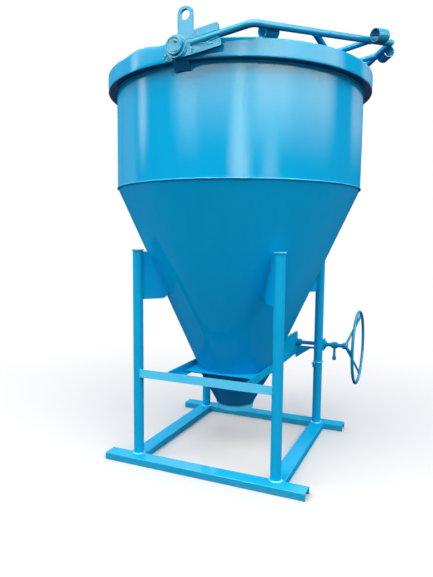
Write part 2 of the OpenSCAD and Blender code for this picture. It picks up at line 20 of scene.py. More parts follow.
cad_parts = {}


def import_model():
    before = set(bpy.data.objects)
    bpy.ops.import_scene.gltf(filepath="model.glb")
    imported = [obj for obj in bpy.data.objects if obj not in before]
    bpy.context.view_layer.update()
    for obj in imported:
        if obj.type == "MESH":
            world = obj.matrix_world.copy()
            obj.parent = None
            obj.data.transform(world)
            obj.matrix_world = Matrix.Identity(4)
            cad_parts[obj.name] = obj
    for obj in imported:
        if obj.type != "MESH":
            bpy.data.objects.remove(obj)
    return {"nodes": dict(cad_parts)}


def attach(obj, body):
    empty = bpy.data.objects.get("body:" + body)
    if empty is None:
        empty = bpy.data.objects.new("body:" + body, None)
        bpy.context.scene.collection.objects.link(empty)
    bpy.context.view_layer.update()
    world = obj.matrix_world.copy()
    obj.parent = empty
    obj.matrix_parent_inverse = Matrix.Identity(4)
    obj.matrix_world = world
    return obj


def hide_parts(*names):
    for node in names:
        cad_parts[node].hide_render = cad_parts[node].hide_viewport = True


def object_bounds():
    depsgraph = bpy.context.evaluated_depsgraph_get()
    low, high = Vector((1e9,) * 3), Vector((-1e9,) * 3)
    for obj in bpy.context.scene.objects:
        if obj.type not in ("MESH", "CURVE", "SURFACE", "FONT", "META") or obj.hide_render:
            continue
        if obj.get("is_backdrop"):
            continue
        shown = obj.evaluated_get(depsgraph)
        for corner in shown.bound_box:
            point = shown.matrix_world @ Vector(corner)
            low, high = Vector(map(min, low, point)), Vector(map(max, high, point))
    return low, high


LOG = logging.getLogger("concrete_bucket")
MERGE = 1e-5
SHEEN_FULL = 0.45
SHEEN_END = 0.82
SHEEN_POWER = 3.0
COLOUR_SKIPS = (None,) * 5
COLOUR_OUTPUT = 2
WHITE = (1.0, 1.0, 1.0)
RAGGED = 0.30
SEED_STEP = 3.7
STEEP = 0.05
ROUND_SHADE = 60.0
WIDE_RING = 0.3
RING_POINTS = 40
WIDE_RING_POINTS = 180
DROP_LUMPS = 0.35
DROP_WAVES = 1.6
DROP_SEED = 300.0
DROP_FLAT = 0.55

Piece = bpy.types.Object
Socket = bpy.types.NodeSocket
Pair = tuple[float, float]
Triple = tuple[float, float, float]
Spot = tuple[Vector, Vector, float]

X_AXIS = Vector((1.0, 0.0, 0.0))
Y_AXIS = Vector((0.0, 1.0, 0.0))
Z_AXIS = Vector((0.0, 0.0, 1.0))


class Body(Enum):
    """The bodies that new pieces ride on."""

    HOPPER = "hopper"
    BAIL = "bail"
    GATE = "gate"
    HANDWHEEL = "handwheel"


class Slot(Enum):
    """The record's material slots."""

    ENAMEL = "blue_enamel"
    GEAR = "gear_steel"


class Side(Enum):
    """The two sides of a pair along Y."""

    FRONT = -1.0
    REAR = 1.0

    @property
    def label(self) -> str:
        """Give the side's word in piece names."""
        return self.name.lower()


class NodeSheet:
    """The nodes of one material or world, added one by one."""

    def __init__(self, tree: bpy.types.NodeTree) -> None:
        """Start from an empty tree."""
        self.tree = tree
        self.tree.nodes.clear()

    def add(self, kind: str, settings: dict[str, str] | None = None, values: Sequence[object] = (),
            **inputs: object) -> bpy.types.Node:
        """Add a node.

        Args:
            kind: The node's type, without the ShaderNode before it.
            settings: Values of the node's own properties.
            values: Values or output sockets for its first inputs, in order, or None to skip one.
            **inputs: Others by name, with _ for a space.

        Returns:
            The new node.
        """
        node = self.tree.nodes.new("ShaderNode" + kind)
        for name, value in (settings or {}).items():
            setattr(node, name, value)
        for socket, value in zip(node.inputs, values):
            self.feed(socket, value)
        for name, value in inputs.items():
            self.feed(node.inputs[name.replace("_", " ")], value)
        return node

    def feed(self, socket: Socket, value: object) -> None:
        """Link an output to a socket, or set the socket's own value.

        Args:
            socket: The input.
            value: An output socket, a plain value, a colour without its alpha, or None to leave it.
        """
        if isinstance(value, bpy.types.NodeSocket):
            self.tree.links.new(value, socket)
        elif value is not None:
            socket.default_value = (*value, 1.0) if socket.type == "RGBA" else value

    def part(self, vector: Socket, axis: str = "Z") -> Socket:
        """Give one part of a vector."""
        return self.add("SeparateXYZ", Vector=vector).outputs[axis]

    def speckle(self, place: Socket, waves: float, detail: float) -> Socket:
        """Give a noise of so many waves per metre."""
        return self.add("TexNoise", Vector=place, Scale=waves, Detail=detail).outputs["Fac"]

    def ramp(self, value: Socket, low: float, high: float, top: float = 1.0) -> Socket:
        """Spread a value from low..high to 0..top, clamped."""
        return self.add("MapRange", Value=value, From_Min=low, From_Max=high, To_Max=top).outputs["Result"]

    def math(self, operation: str, *values: object) -> Socket:
        """Work out one sum of values or output sockets."""
        return self.add("Math", {"operation": operation}, values).outputs[0]

    def blend(self, share: Socket, first: Socket | Triple, second: Socket | Triple) -> Socket:
        """Mix two colours, with a share of the second."""
        node = self.add("Mix", {"data_type": "RGBA"}, (share, *COLOUR_SKIPS, first, second))
        return node.outputs[COLOUR_OUTPUT]

    def either(self, share: Socket, first: bpy.types.Node, second: bpy.types.Node) -> Socket:
        """Mix two shaders, with a share of the second."""
        return self.add("MixShader", None, (share, first.outputs[0], second.outputs[0])).outputs[0]

    def sheen(self, level: float, end: float = SHEEN_END) -> Socket:
        """Give a gloss that fades where a face turns away from the eye.

        Args:
            level: The gloss of a face that is seen square on.
            end: The turn at which none is left, from 0 square on to 1 edge on.

        Returns:
            The gloss at each place.
        """
        turned = self.add("LayerWeight", Blend=0.5).outputs["Facing"]
        fall = self.math("POWER", self.ramp(turned, end, SHEEN_FULL), SHEEN_POWER)
        return self.math("MULTIPLY", self.ramp(turned, 1.0, 0.0, level), fall)

    def surface(self, **inputs: object) -> None:
        """End a material in one glossy shader."""
        shader = self.add("BsdfPrincipled", **inputs)
        self.add("OutputMaterial", Surface=shader.outputs["BSDF"])

    def mirrored(self) -> Socket:
        """Tell the rays that see a backdrop straight, in a mirror or through glass.

        Returns:
            One for such rays, else nought.
        """
        light = self.add("LightPath").outputs
        seen = self.math("MAXIMUM", light["Is Camera Ray"], light["Is Glossy Ray"])
        return self.math("MAXIMUM", seen, light["Is Transmission Ray"])


def new_sheet(name: str) -> tuple[bpy.types.Material, NodeSheet]:
    """Make an empty material.

    Args:
        name: The material's name.

    Returns:
        The material and its sheet of nodes.
    """
    material = bpy.data.materials.new(name)
    material.use_nodes = True
    return material, NodeSheet(material.node_tree)


@dataclass(frozen=True)
class Grain:
    """A noise of so many waves per metre, spread from low..high to 0..top."""

    waves: float
    detail: float
    low: float
    high: float
    top: float = 1.0

    def on(self, sheet: NodeSheet, place: Socket) -> Socket:
        """Give the grain's level at each place."""
        return sheet.ramp(sheet.speckle(place, self.waves, self.detail), self.low, self.high, self.top)


THIN_FILM = Grain(2.6, 4.0, 0.36, 0.68)
RUNS = Grain(26.0, 3.0, 0.50, 0.80, 0.30)
BURNT_CRUST = Grain(115.0, 3.0, 0.50, 0.64, 0.85)
SETTLED_DUST = Grain(24.0, 5.0, 0.40, 0.75, 0.30)
DUST_SPECKS = Grain(240.0, 2.0, 0.70, 0.80, 0.10)
DULL_FILM = Grain(3.4, 4.0, 0.35, 0.75, 0.06)
GREASE_SMEARS = Grain(34.0, 4.0, 0.45, 0.62, 0.8)


@dataclass(frozen=True)
class EnamelFinish:
    """Glossy sprayed enamel: uneven film, runs, orange peel, dust near the floor, burnt weld crust, and
    painted shade on downward faces and towards the foot.
    """

    name: str
    film: Triple
    thin_film: Triple
    specular: float
    roughness: float
    peel: float = 0.16
    grit: float = 0.06
    crusted: bool = False
    sheen_end: float = SHEEN_END
    # painted shade: the film darkens towards a dark blue from foot_top down to foot_low, standing in for
    # the shade round the stand
    foot_shade: float = 0.0
    foot_top: float = 0.95
    foot_low: float = 0.42
    run_shade: float = 0.86
    run_stretch: Triple = (1.0, 1.0, 0.1)
    # painted shade: faces that look down are darkened towards a dark blue, standing in for the shade under
    # the rim, the ledges and the bars
    under_from: float = -0.70
    under_full: float = -0.95
    under_shade: float = 0.85
    primer: Triple = (0.004, 0.070, 0.140)
    burn: Triple = (0.10, 0.21, 0.08)
    dust: Triple = (0.30, 0.36, 0.38)
    dust_top: float = 0.035
    dust_dulls: float = 0.1
    grit_waves: float = 900.0
    grit_depth: float = 0.0004
    peel_waves: float = 210.0
    peel_depth: float = 0.0006
    slot: Slot = Slot.ENAMEL

    def colour(self, sheet: NodeSheet, place: Socket, dusty: Socket) -> Socket:
        """Mix the film's colour, with painted shade on downward faces and towards the foot.

        Args:
            sheet: The material's nodes.
            place: The place on the piece.
            dusty: Share of dust.

        Returns:
            The colour.
        """
        film = sheet.blend(THIN_FILM.on(sheet, place), self.film, self.thin_film)
        streak = sheet.add("Mapping", Vector=place, Scale=self.run_stretch).outputs["Vector"]
        thick = tuple(channel * self.run_shade for channel in self.film)
        film = sheet.blend(RUNS.on(sheet, streak), film, thick)
        # painted shade on faces that look down
        facing = sheet.part(place.node.outputs["Normal"])
        under = sheet.ramp(facing, self.under_from, self.under_full, self.under_shade)
        film = sheet.blend(under, film, self.primer)
        # painted shade, deeper towards the foot
        if self.foot_shade:
            low = sheet.ramp(sheet.part(place), self.foot_top, self.foot_low, self.foot_shade)
            film = sheet.blend(low, film, self.primer)
        colour = sheet.blend(dusty, film, self.dust)
        if self.crusted:
            colour = sheet.blend(BURNT_CRUST.on(sheet, place), colour, self.burn)
        return colour

    @cache
    def material(self) -> bpy.types.Material:
        """Build the enamel's material at its first use.

        Returns:
            The material.
        """
        material, sheet = new_sheet(self.name)
        place = sheet.add("TexCoord").outputs["Object"]
        low = sheet.ramp(sheet.part(place), self.dust_top, 0.0)
        settled = sheet.math("MULTIPLY", low, SETTLED_DUST.on(sheet, place))
        dusty = sheet.math("MAXIMUM", settled, DUST_SPECKS.on(sheet, place))
        dull = sheet.math("MULTIPLY_ADD", dusty, self.dust_dulls, self.roughness)
        fine = sheet.add("Bump", Strength=self.grit, Distance=self.grit_depth,
                         Height=sheet.speckle(place, self.grit_waves, 1.0))
        bump = sheet.add("Bump", Strength=self.peel, Distance=self.peel_depth,
                         Height=sheet.speckle(place, self.peel_waves, 2.0), Normal=fine.outputs["Normal"])
        sheet.surface(
            Base_Color=self.colour(sheet, place, dusty), IOR=1.5, Normal=bump.outputs["Normal"],
            Roughness=sheet.math("ADD", dull, DULL_FILM.on(sheet, place)),
            Specular_IOR_Level=sheet.sheen(self.specular, self.sheen_end),
        )
        return material


@dataclass(frozen=True)
class SteelFinish:
    """Machined steel with tool marks under a film of grease."""

    name: str
    steel: Triple
    grease: Triple
    roughness: float
    specular: float
    mark_waves: float = 160.0
    mark_stretch: Triple = (9.0, 1.0, 1.0)
    mark_bump: float = 0.25
    mark_depth: float = 0.0003
    slot: Slot = Slot.GEAR

    @cache
    def material(self) -> bpy.types.Material:
        """Build the steel's material at its first use.

        Returns:
            The material.
        """
        material, sheet = new_sheet(self.name)
        place = sheet.add("TexCoord").outputs["Object"]
        stretched = sheet.add("Mapping", Vector=place, Scale=self.mark_stretch).outputs["Vector"]
        marks = sheet.speckle(stretched, self.mark_waves, 3.0)
        bump = sheet.add("Bump", Strength=self.mark_bump, Distance=self.mark_depth, Height=marks)
        sheet.surface(
            Base_Color=sheet.blend(GREASE_SMEARS.on(sheet, place), self.steel, self.grease),
            Roughness=sheet.math("ADD", sheet.ramp(marks, 0.3, 0.7, 0.06), self.roughness),
            Specular_IOR_Level=sheet.sheen(self.specular), Normal=bump.outputs["Normal"],
        )
        return material


Finish = EnamelFinish | SteelFinish

SHELL_ENAMEL = EnamelFinish("shell_enamel", (0.0004, 0.430, 0.730), (0.0015, 0.455, 0.755),
                            specular=0.08, roughness=0.09, peel=0.05, grit=0.02, sheen_end=0.96)
# painted light and shade: a brighter copy of the shell enamel for the cone and gussets, which face down and
# get less light; it darkens towards the cone's foot
CONE_LIT_SHADED_ENAMEL = EnamelFinish("cone_enamel", (0.0003, 0.495, 0.880), (0.0010, 0.520, 0.900), specular=0.05,
                           roughness=0.09, peel=0.05, grit=0.02, sheen_end=0.96, foot_shade=0.28)
STAND_ENAMEL = EnamelFinish("stand_enamel", (0.0005, 0.445, 0.735), (0.0030, 0.480, 0.765),
                            specular=0.09, roughness=0.10)
# painted light: a copy of the stand enamel with a whiter tint, standing in for the light on the skids' lit
# front faces
SKID_LIT_ENAMEL = EnamelFinish("front_enamel", (0.0060, 0.440, 0.700), (0.0140, 0.480, 0.735),
                           specular=0.12, roughness=0.12)
# painted light: a much paler copy of the stand enamel, standing in for the bright light on the front rail,
# post caps, spout and post-foot welds
PAINTED_LIGHT_ENAMEL = EnamelFinish("rail_enamel", (0.0800, 0.680, 0.930), (0.1100, 0.720, 0.960),
                           specular=0.40, roughness=0.12)
BAIL_ENAMEL = EnamelFinish("bail_enamel", (0.0010, 0.345, 0.555), (0.0040, 0.380, 0.595),
                           specular=0.105, roughness=0.12, peel=0.20, grit=0.10)
# painted shade: a dark copy of the enamel for the rim brackets and lower cone, standing in for the shade
# under the rim and the gate
PAINTED_SHADE_ENAMEL = EnamelFinish("under_enamel", (0.0008, 0.200, 0.400), (0.0020, 0.250, 0.470),
                            specular=0.05, roughness=0.14, peel=0.20, grit=0.10)
WELD_ENAMEL = EnamelFinish("weld_enamel", (0.003, 0.440, 0.710), (0.020, 0.520, 0.770),
                           specular=0.16, roughness=0.13, peel=0.45, grit=0.25)
CRUST_ENAMEL = EnamelFinish("crust_enamel", (0.010, 0.400, 0.640), (0.060, 0.520, 0.720),
                            specular=0.10, roughness=0.16, peel=0.60, grit=0.40, crusted=True)
NIPPLE_BRASS = EnamelFinish("nipple_brass", (0.290, 0.430, 0.200), (0.400, 0.540, 0.230),
                            specular=0.10, roughness=0.15, peel=0.20, grit=0.20)
GEAR_STEEL = SteelFinish("gear_steel", (0.30, 0.31, 0.32), (0.055, 0.045, 0.030),
                         roughness=0.12, specular=0.12)


def coat(piece: Piece, finish: Finish) -> None:
    """Give a piece one finish alone."""
    piece.data.materials.clear()
    piece.data.materials.append(finish.material())


def begin(name: str, add: Callable[..., object], **settings: object) -> Piece:
    """Start a piece from a primitive, a lamp or a camera.

    Args:
        name: The piece's name.
        add: The operator that adds it.
        **settings: The operator's settings.

    Returns:
        The new piece.
    """
    bpy.ops.object.select_all(action="DESELECT")
    add(**settings)
    bpy.context.object.name = name
    return bpy.context.object


def pick(pieces: Sequence[Piece]) -> None:
    """Select pieces alone and make the first active.

    Args:
        pieces: The pieces.
    """
    bpy.ops.object.select_all(action="DESELECT")
    for piece in pieces:
        piece.select_set(True)
    bpy.context.view_layer.objects.active = pieces[0]


def in_edit(piece: Piece, *steps: Callable[[], object]) -> None:
    """Run operators on a whole piece in edit mode.

    Args:
        piece: The piece, selected all over.
        *steps: The operators, in order.
    """
    pick([piece])
    bpy.ops.object.mode_set(mode="EDIT")
    bpy.ops.mesh.select_all(action="SELECT")
    for step in steps:
        step()
    bpy.ops.object.mode_set(mode="OBJECT")


def close_up(piece: Piece) -> None:
    """Merge a piece's doubles and turn its faces outwards.

    Args:
        piece: The piece.
    """
    in_edit(
        piece,
        lambda: bpy.ops.mesh.remove_doubles(threshold=MERGE),
        lambda: bpy.ops.mesh.normals_make_consistent(inside=False),
    )


def smooth(piece: Piece, degrees: float) -> None:
    """Shade a piece smooth up to an edge angle."""
    pick([piece])
    bpy.ops.object.shade_smooth_by_angle(angle=math.radians(degrees))


def spun(name: str, outline: Sequence[Pair], steps: int) -> Piece:
    """Spin a closed outline once round the Z axis.

    Args:
        name: The piece's name.
        outline: Radius and height of each corner.
        steps: Parts of the turn.

    Returns:
        The closed ring.
    """
    piece = begin(name, bpy.ops.mesh.primitive_circle_add, vertices=len(outline), fill_type="NOTHING")
    for vertex, (radius, height) in zip(piece.data.vertices, outline):
        vertex.co = (radius, 0.0, height)
    in_edit(piece, lambda: bpy.ops.mesh.spin(steps=steps, angle=math.tau, center=(0, 0, 0), axis=(0, 0, 1)))
    close_up(piece)
    return piece


def facing(axis: Vector) -> Matrix:
    """Give the turn from the Z axis to an axis."""
    return axis.to_track_quat("Z", "Y").to_matrix().to_4x4()


def twin(piece: Piece) -> Piece:
    """Copy a piece.

    Args:
        piece: The piece.

    Returns:
        The copy, with a mesh of its own.
    """
    copy = piece.copy()
    copy.data = piece.data.copy()
    bpy.context.collection.objects.link(copy)
    return copy


def seated(pattern: Piece, point: Vector, axis: Vector) -> Piece:
    """Copy a pattern to a place, in the copy's mesh.

    Args:
        pattern: The pattern, upright at the origin.
        point: Where its foot goes.
        axis: Which way it stands.

    Returns:
        The copy.
    """
    piece = twin(pattern)
    piece.data.transform(Matrix.Translation(point) @ facing(axis))
    return piece


def joined(name: str, pieces: Iterable[Piece]) -> Piece:
    """Join pieces into one.

    Args:
        name: The joined piece's name.
        pieces: The pieces, the first of which takes the rest.

    Returns:
        The joined piece.
    """
    parts = list(pieces)
    pick(parts)
    if len(parts) > 1:
        bpy.ops.object.join()
    parts[0].name = name
    return parts[0]


def stations(start: float, end: float, count: int) -> list[float]:
    """Give count + 1 even places from start to end."""
    return [start + (end - start) * i / count for i in range(count + 1)]


def both(reach: float) -> Pair:
    """Give a reach to either side."""
    return -reach, reach


def turns(count: int) -> list[float]:
    """Give so many even angles of a full turn, in radians."""
    return [math.tau * i / count for i in range(count)]


def polar(radius: float, bearing: float, height: float) -> Vector:
    """Give the point at a radius, a bearing and a height."""
    turn = math.radians(bearing)
    return Vector((radius * math.cos(turn), radius * math.sin(turn), height))


@dataclass(frozen=True)
class Beat:
    """How far a rolled plate wanders from true, in flats along its height and in soft dents."""

    flats: float
    flat_waves: float
    dents: float
    dent_waves: float
    seed: float

    def depth(self, place: Vector) -> float:
        """Give the plate's shift out of true.

        Args:
            place: A point on the plate.

        Returns:
            The shift along the radius.
        """
        around = Vector((place.x, place.y, 0.0)).normalized()
        flat = noise.noise(Vector((around.x * self.flat_waves, around.y * self.flat_waves, self.seed)))
        dent = noise.noise(place * self.dent_waves + X_AXIS * self.seed)
        return self.flats * flat + self.dents * dent

    def shape(self, piece: Piece, hold: Callable[[float], float]) -> None:
        """Beat a spun shell.

        Args:
            piece: The shell, round the Z axis.
            hold: Share of the shift left at a height, where seams and rims hold the plate.
        """
        for vertex in piece.data.vertices:
            out = Vector((vertex.co.x, vertex.co.y, 0.0)).normalized()
            vertex.co += out * self.depth(vertex.co) * hold(vertex.co.z)


@dataclass(frozen=True)
class Bead:
    """One run of weld metal along a path, with a ripple where each drop set."""

    path: tuple[Vector, ...]
    size: float
    closed: bool = False
    ragged: float = RAGGED
    flat: float = 0.85
    pitch: float = 0.009
    sides: int = 7
    thin: float = 0.86
    swell: float = 0.16
    stray: float = 0.8
    size_waves: float = 55.0
    stray_waves: float = 31.0

    def samples(self) -> list[Vector]:
        """Space points evenly along the path, four to a ripple.

        Returns:
            The points, with the first again at the end of a closed path.
        """
        corners = list(self.path) + ([self.path[0]] if self.closed else [])
        lengths = [(b - a).length for a, b in zip(corners, corners[1:])]
        total = sum(lengths)
        count = max(6, round(total / (self.pitch / 4)))
        points = []
        leg, passed = 0, 0.0
        for along in stations(0.0, total, count):
            while leg < len(lengths) - 1 and along > passed + lengths[leg]:
                passed += lengths[leg]
                leg += 1
            share = min(1.0, (along - passed) / max(lengths[leg], MERGE))
            points.append(corners[leg].lerp(corners[leg + 1], share))
        return points

    def rings(self, seed: float) -> Iterator[tuple[Vector, Vector, Vector]]:
        """Size the bead at each point of its path.

        Args:
            seed: Start of the bead's unevenness.

        Yields:
            Middle, sideways reach and upward reach.
        """
        points = self.samples()
        last = len(points) - 1
        for i, point in enumerate(points):
            before = points[i - 1] if i else points[-2] if self.closed else point
            after = points[i + 1] if i < last else points[1] if self.closed else point
            along = (after - before).normalized()
            side = along.cross(Z_AXIS)
            side = side.normalized() if side.length > STEEP else along.orthogonal().normalized()
            rise = side.cross(along).normalized()
            drop = 0.5 + 0.5 * math.cos(i * math.pi / 2)
            spot = point if i < last or not self.closed else points[0]
            wander = noise.noise(spot * self.size_waves + X_AXIS * seed)
            size = self.size * (self.thin + self.swell * drop + self.ragged * wander)
            if not self.closed and i in (0, last):
                size = 0.0
            stray = noise.noise(spot * self.stray_waves + Y_AXIS * seed)
            shift = rise * self.size * self.ragged * self.stray * stray
            yield point + shift, side * size, rise * size * self.flat

    def build(self, name: str, seed: float) -> Piece:
        """Lay the bead.

        Args:
            name: The piece's name.
            seed: Start of the bead's unevenness.

        Returns:
            The bead's piece.
        """
        rings = list(self.rings(seed))
        last = len(rings) - 1
        piece = begin(name, bpy.ops.mesh.primitive_grid_add, x_subdivisions=last, y_subdivisions=self.sides,
                      size=1.0)
        for vertex in piece.data.vertices:
            middle, side, rise = rings[round((vertex.co.x + 0.5) * last)]
            turn = math.tau * round((vertex.co.y + 0.5) * self.sides) / self.sides
            vertex.co = middle + side * math.cos(turn) + rise * math.sin(turn)
        close_up(piece)
        return piece


def ring_bead(radius: float, middle: Vector, axis: Vector, size: float, ragged: float = RAGGED) -> Bead:
    """Lay a closed bead round an axis.

    Args:
        radius: Radius of the ring.
        middle: Its middle.
        axis: Its axis.
        size: The bead's half width.
        ragged: The bead's unevenness.

    Returns:
        The bead.
    """
    first = axis.orthogonal().normalized()
    second = axis.normalized().cross(first).normalized()
    angles = turns(WIDE_RING_POINTS if radius > WIDE_RING else RING_POINTS)
    path = (middle + first * radius * math.cos(a) + second * radius * math.sin(a) for a in angles)
    return Bead(tuple(path), size, True, ragged)


def run_bead(start: Vector, end: Vector, size: float, ragged: float = RAGGED) -> Bead:
    """Lay a straight bead between two points."""
    return Bead((start, end), size, ragged=ragged)


def upright_bead(foot: Vector, rise: float, size: float, ragged: float = RAGGED) -> Bead:
    """Lay a straight bead upwards."""
    return run_bead(foot, foot + Z_AXIS * rise, size, ragged)


def spatter(name: str, spots: Iterable[Spot]) -> Piece:
    """Set drops of weld metal on a surface.

    Args:
        name: The piece's name.
        spots: Point, outward normal and radius of each drop.

    Returns:
        The drops as one piece.
    """
    pattern = begin("drop", bpy.ops.mesh.primitive_ico_sphere_add, subdivisions=2, radius=1.0)
    drops = []
    for point, normal, size in spots:
        drop = twin(pattern)
        turn = facing(normal)
        for vertex in drop.data.vertices:
            wave = noise.noise(vertex.co * DROP_WAVES + point * DROP_SEED)
            lump = size * (1.0 + DROP_LUMPS * wave)
            x, y, z = vertex.co
            vertex.co = point + turn @ Vector((x * lump, y * lump, z * lump * DROP_FLAT))
        drops.append(drop)
    bpy.data.objects.remove(pattern)
    piece = joined(name, drops)
    smooth(piece, ROUND_SHADE)
    return piece


@dataclass
class SubAssembly:
    """A group of pieces of one body, dressed alike."""

    body: Body = Body.HOPPER

    def build(self) -> None:
        """Build and dress the group's pieces."""
        raise NotImplementedError

    def keep(self, piece: Piece, finish: Finish, *nodes: str) -> None:
        """Finish a new piece: its material, its body and what it stands for.

        Args:
            piece: The new piece.
            finish: Its finish.
            *nodes: The solids that it stands for.
        """
        coat(piece, finish)
        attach(piece, self.body.value)
        if nodes:
            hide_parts(*nodes)
        LOG.info("%s: %d faces on %s", piece.name, len(piece.data.polygons), self.body.value)

    def weld(self, name: str, beads: Iterable[Bead], finish: Finish = WELD_ENAMEL) -> None:
        """Lay a group of beads as one piece.

        Args:
            name: The piece's name.
            beads: The beads.
            finish: Their finish.
        """
        runs = [bead.build(f"{name}_{i}", SEED_STEP * i + len(name)) for i, bead in enumerate(beads)]
        piece = joined(name, runs)
        smooth(piece, ROUND_SHADE)
        self.keep(piece, finish)


@dataclass
class HopperShell(SubAssembly):
    """Drum and cone, rolled from plate and welded at the seam."""

    drum_r: float = 0.600
    drum_wall: float = 0.006
    top_z: float = 1.840
    seam_z: float = 1.321
    foot_r: float = 0.194
    foot_z: float = 0.421
    cone_wall: float = 0.006582
    steps: int = 288
    drum_rows: int = 18
    cone_rows: int = 26
    shade: float = 35.0
    drum_joint: float = 74.0
    cone_joint: float = 118.0
    joint_gap: float = 0.004
    rim_height: float = 0.076
    foot_gap: float = 0.07
    joint_points: int = 24
    joint_bead: float = 0.0036
    seam_points: int = 180
    seam_bead: float = 0.0046
    beat: Beat = Beat(flats=0.0022, flat_waves=3.1, dents=0.0011, dent_waves=3.6, seed=4.2)

    def hold(self, z: float) -> float:
        """Say how free the plate is at a height, between the foot, the seam and the rim."""
        low, high = (self.seam_z, self.top_z) if z > self.seam_z else (self.foot_z, self.seam_z)
        return 0.25 + 0.75 * math.sin(math.pi * min(1.0, max(0.0, (z - low) / (high - low))))

    def shell(self, name: str, low: Pair, high: Pair, wall: float, rows: int) -> Piece:
        """Spin one shell between two edges.

        Args:
            name: The piece's name.
            low: Outer radius and height of the lower edge.
            high: Outer radius and height of the upper edge.
            wall: The plate's thickness on a level cut.
            rows: Bands along its height.

        Returns:
            The beaten shell.
        """
        outer = list(zip(stations(low[0], high[0], rows), stations(low[1], high[1], rows)))
        inner = [(radius - wall, height) for radius, height in reversed(outer)]
        piece = spun(name, outer + inner, self.steps)
        self.beat.shape(piece, self.hold)
        smooth(piece, self.shade)
        return piece

    def wall_point(self, bearing: float, z: float) -> Vector:
        """Give a point on the beaten outer wall.

        Args:
            bearing: The point's bearing.
            z: Its height.

        Returns:
            The point.
        """
        slope = (self.drum_r - self.foot_r) / (self.seam_z - self.foot_z)
        radius = self.drum_r if z > self.seam_z else self.foot_r + (z - self.foot_z) * slope
        place = polar(radius, bearing, z)
        return polar(radius + self.beat.depth(place) * self.hold(z), bearing, z)

    def joint(self, bearing: float, low: float, high: float) -> Bead:
        """Lay the upright bead where a rolled plate's ends meet."""
        heights = stations(low, high, self.joint_points)
        return Bead(tuple(self.wall_point(bearing, z) for z in heights), self.joint_bead)

    def build(self) -> None:
        """Build both shells and their welds."""
        foot, seam, top = (self.foot_r, self.foot_z), (self.drum_r, self.seam_z), (self.drum_r, self.top_z)
        self.keep(self.shell("drum_shell", seam, top, self.drum_wall, self.drum_rows), SHELL_ENAMEL, "drum")
        # the cone's film is brightened as painted light and darkened towards its foot as painted shade
        self.keep(self.shell("cone_shell", foot, seam, self.cone_wall, self.cone_rows), CONE_LIT_SHADED_ENAMEL, "cone")
        bearings = stations(0.0, 360.0, self.seam_points)[:-1]
        ring = tuple(self.wall_point(bearing, self.seam_z) for bearing in bearings)
        self.weld("seam_weld", [Bead(ring, self.seam_bead, True)])
        self.weld("plate_joint_welds", [
            self.joint(self.drum_joint, self.seam_z + self.joint_gap, self.top_z - self.rim_height),
            self.joint(self.cone_joint, self.foot_z + self.foot_gap, self.seam_z - self.joint_gap),
        ])


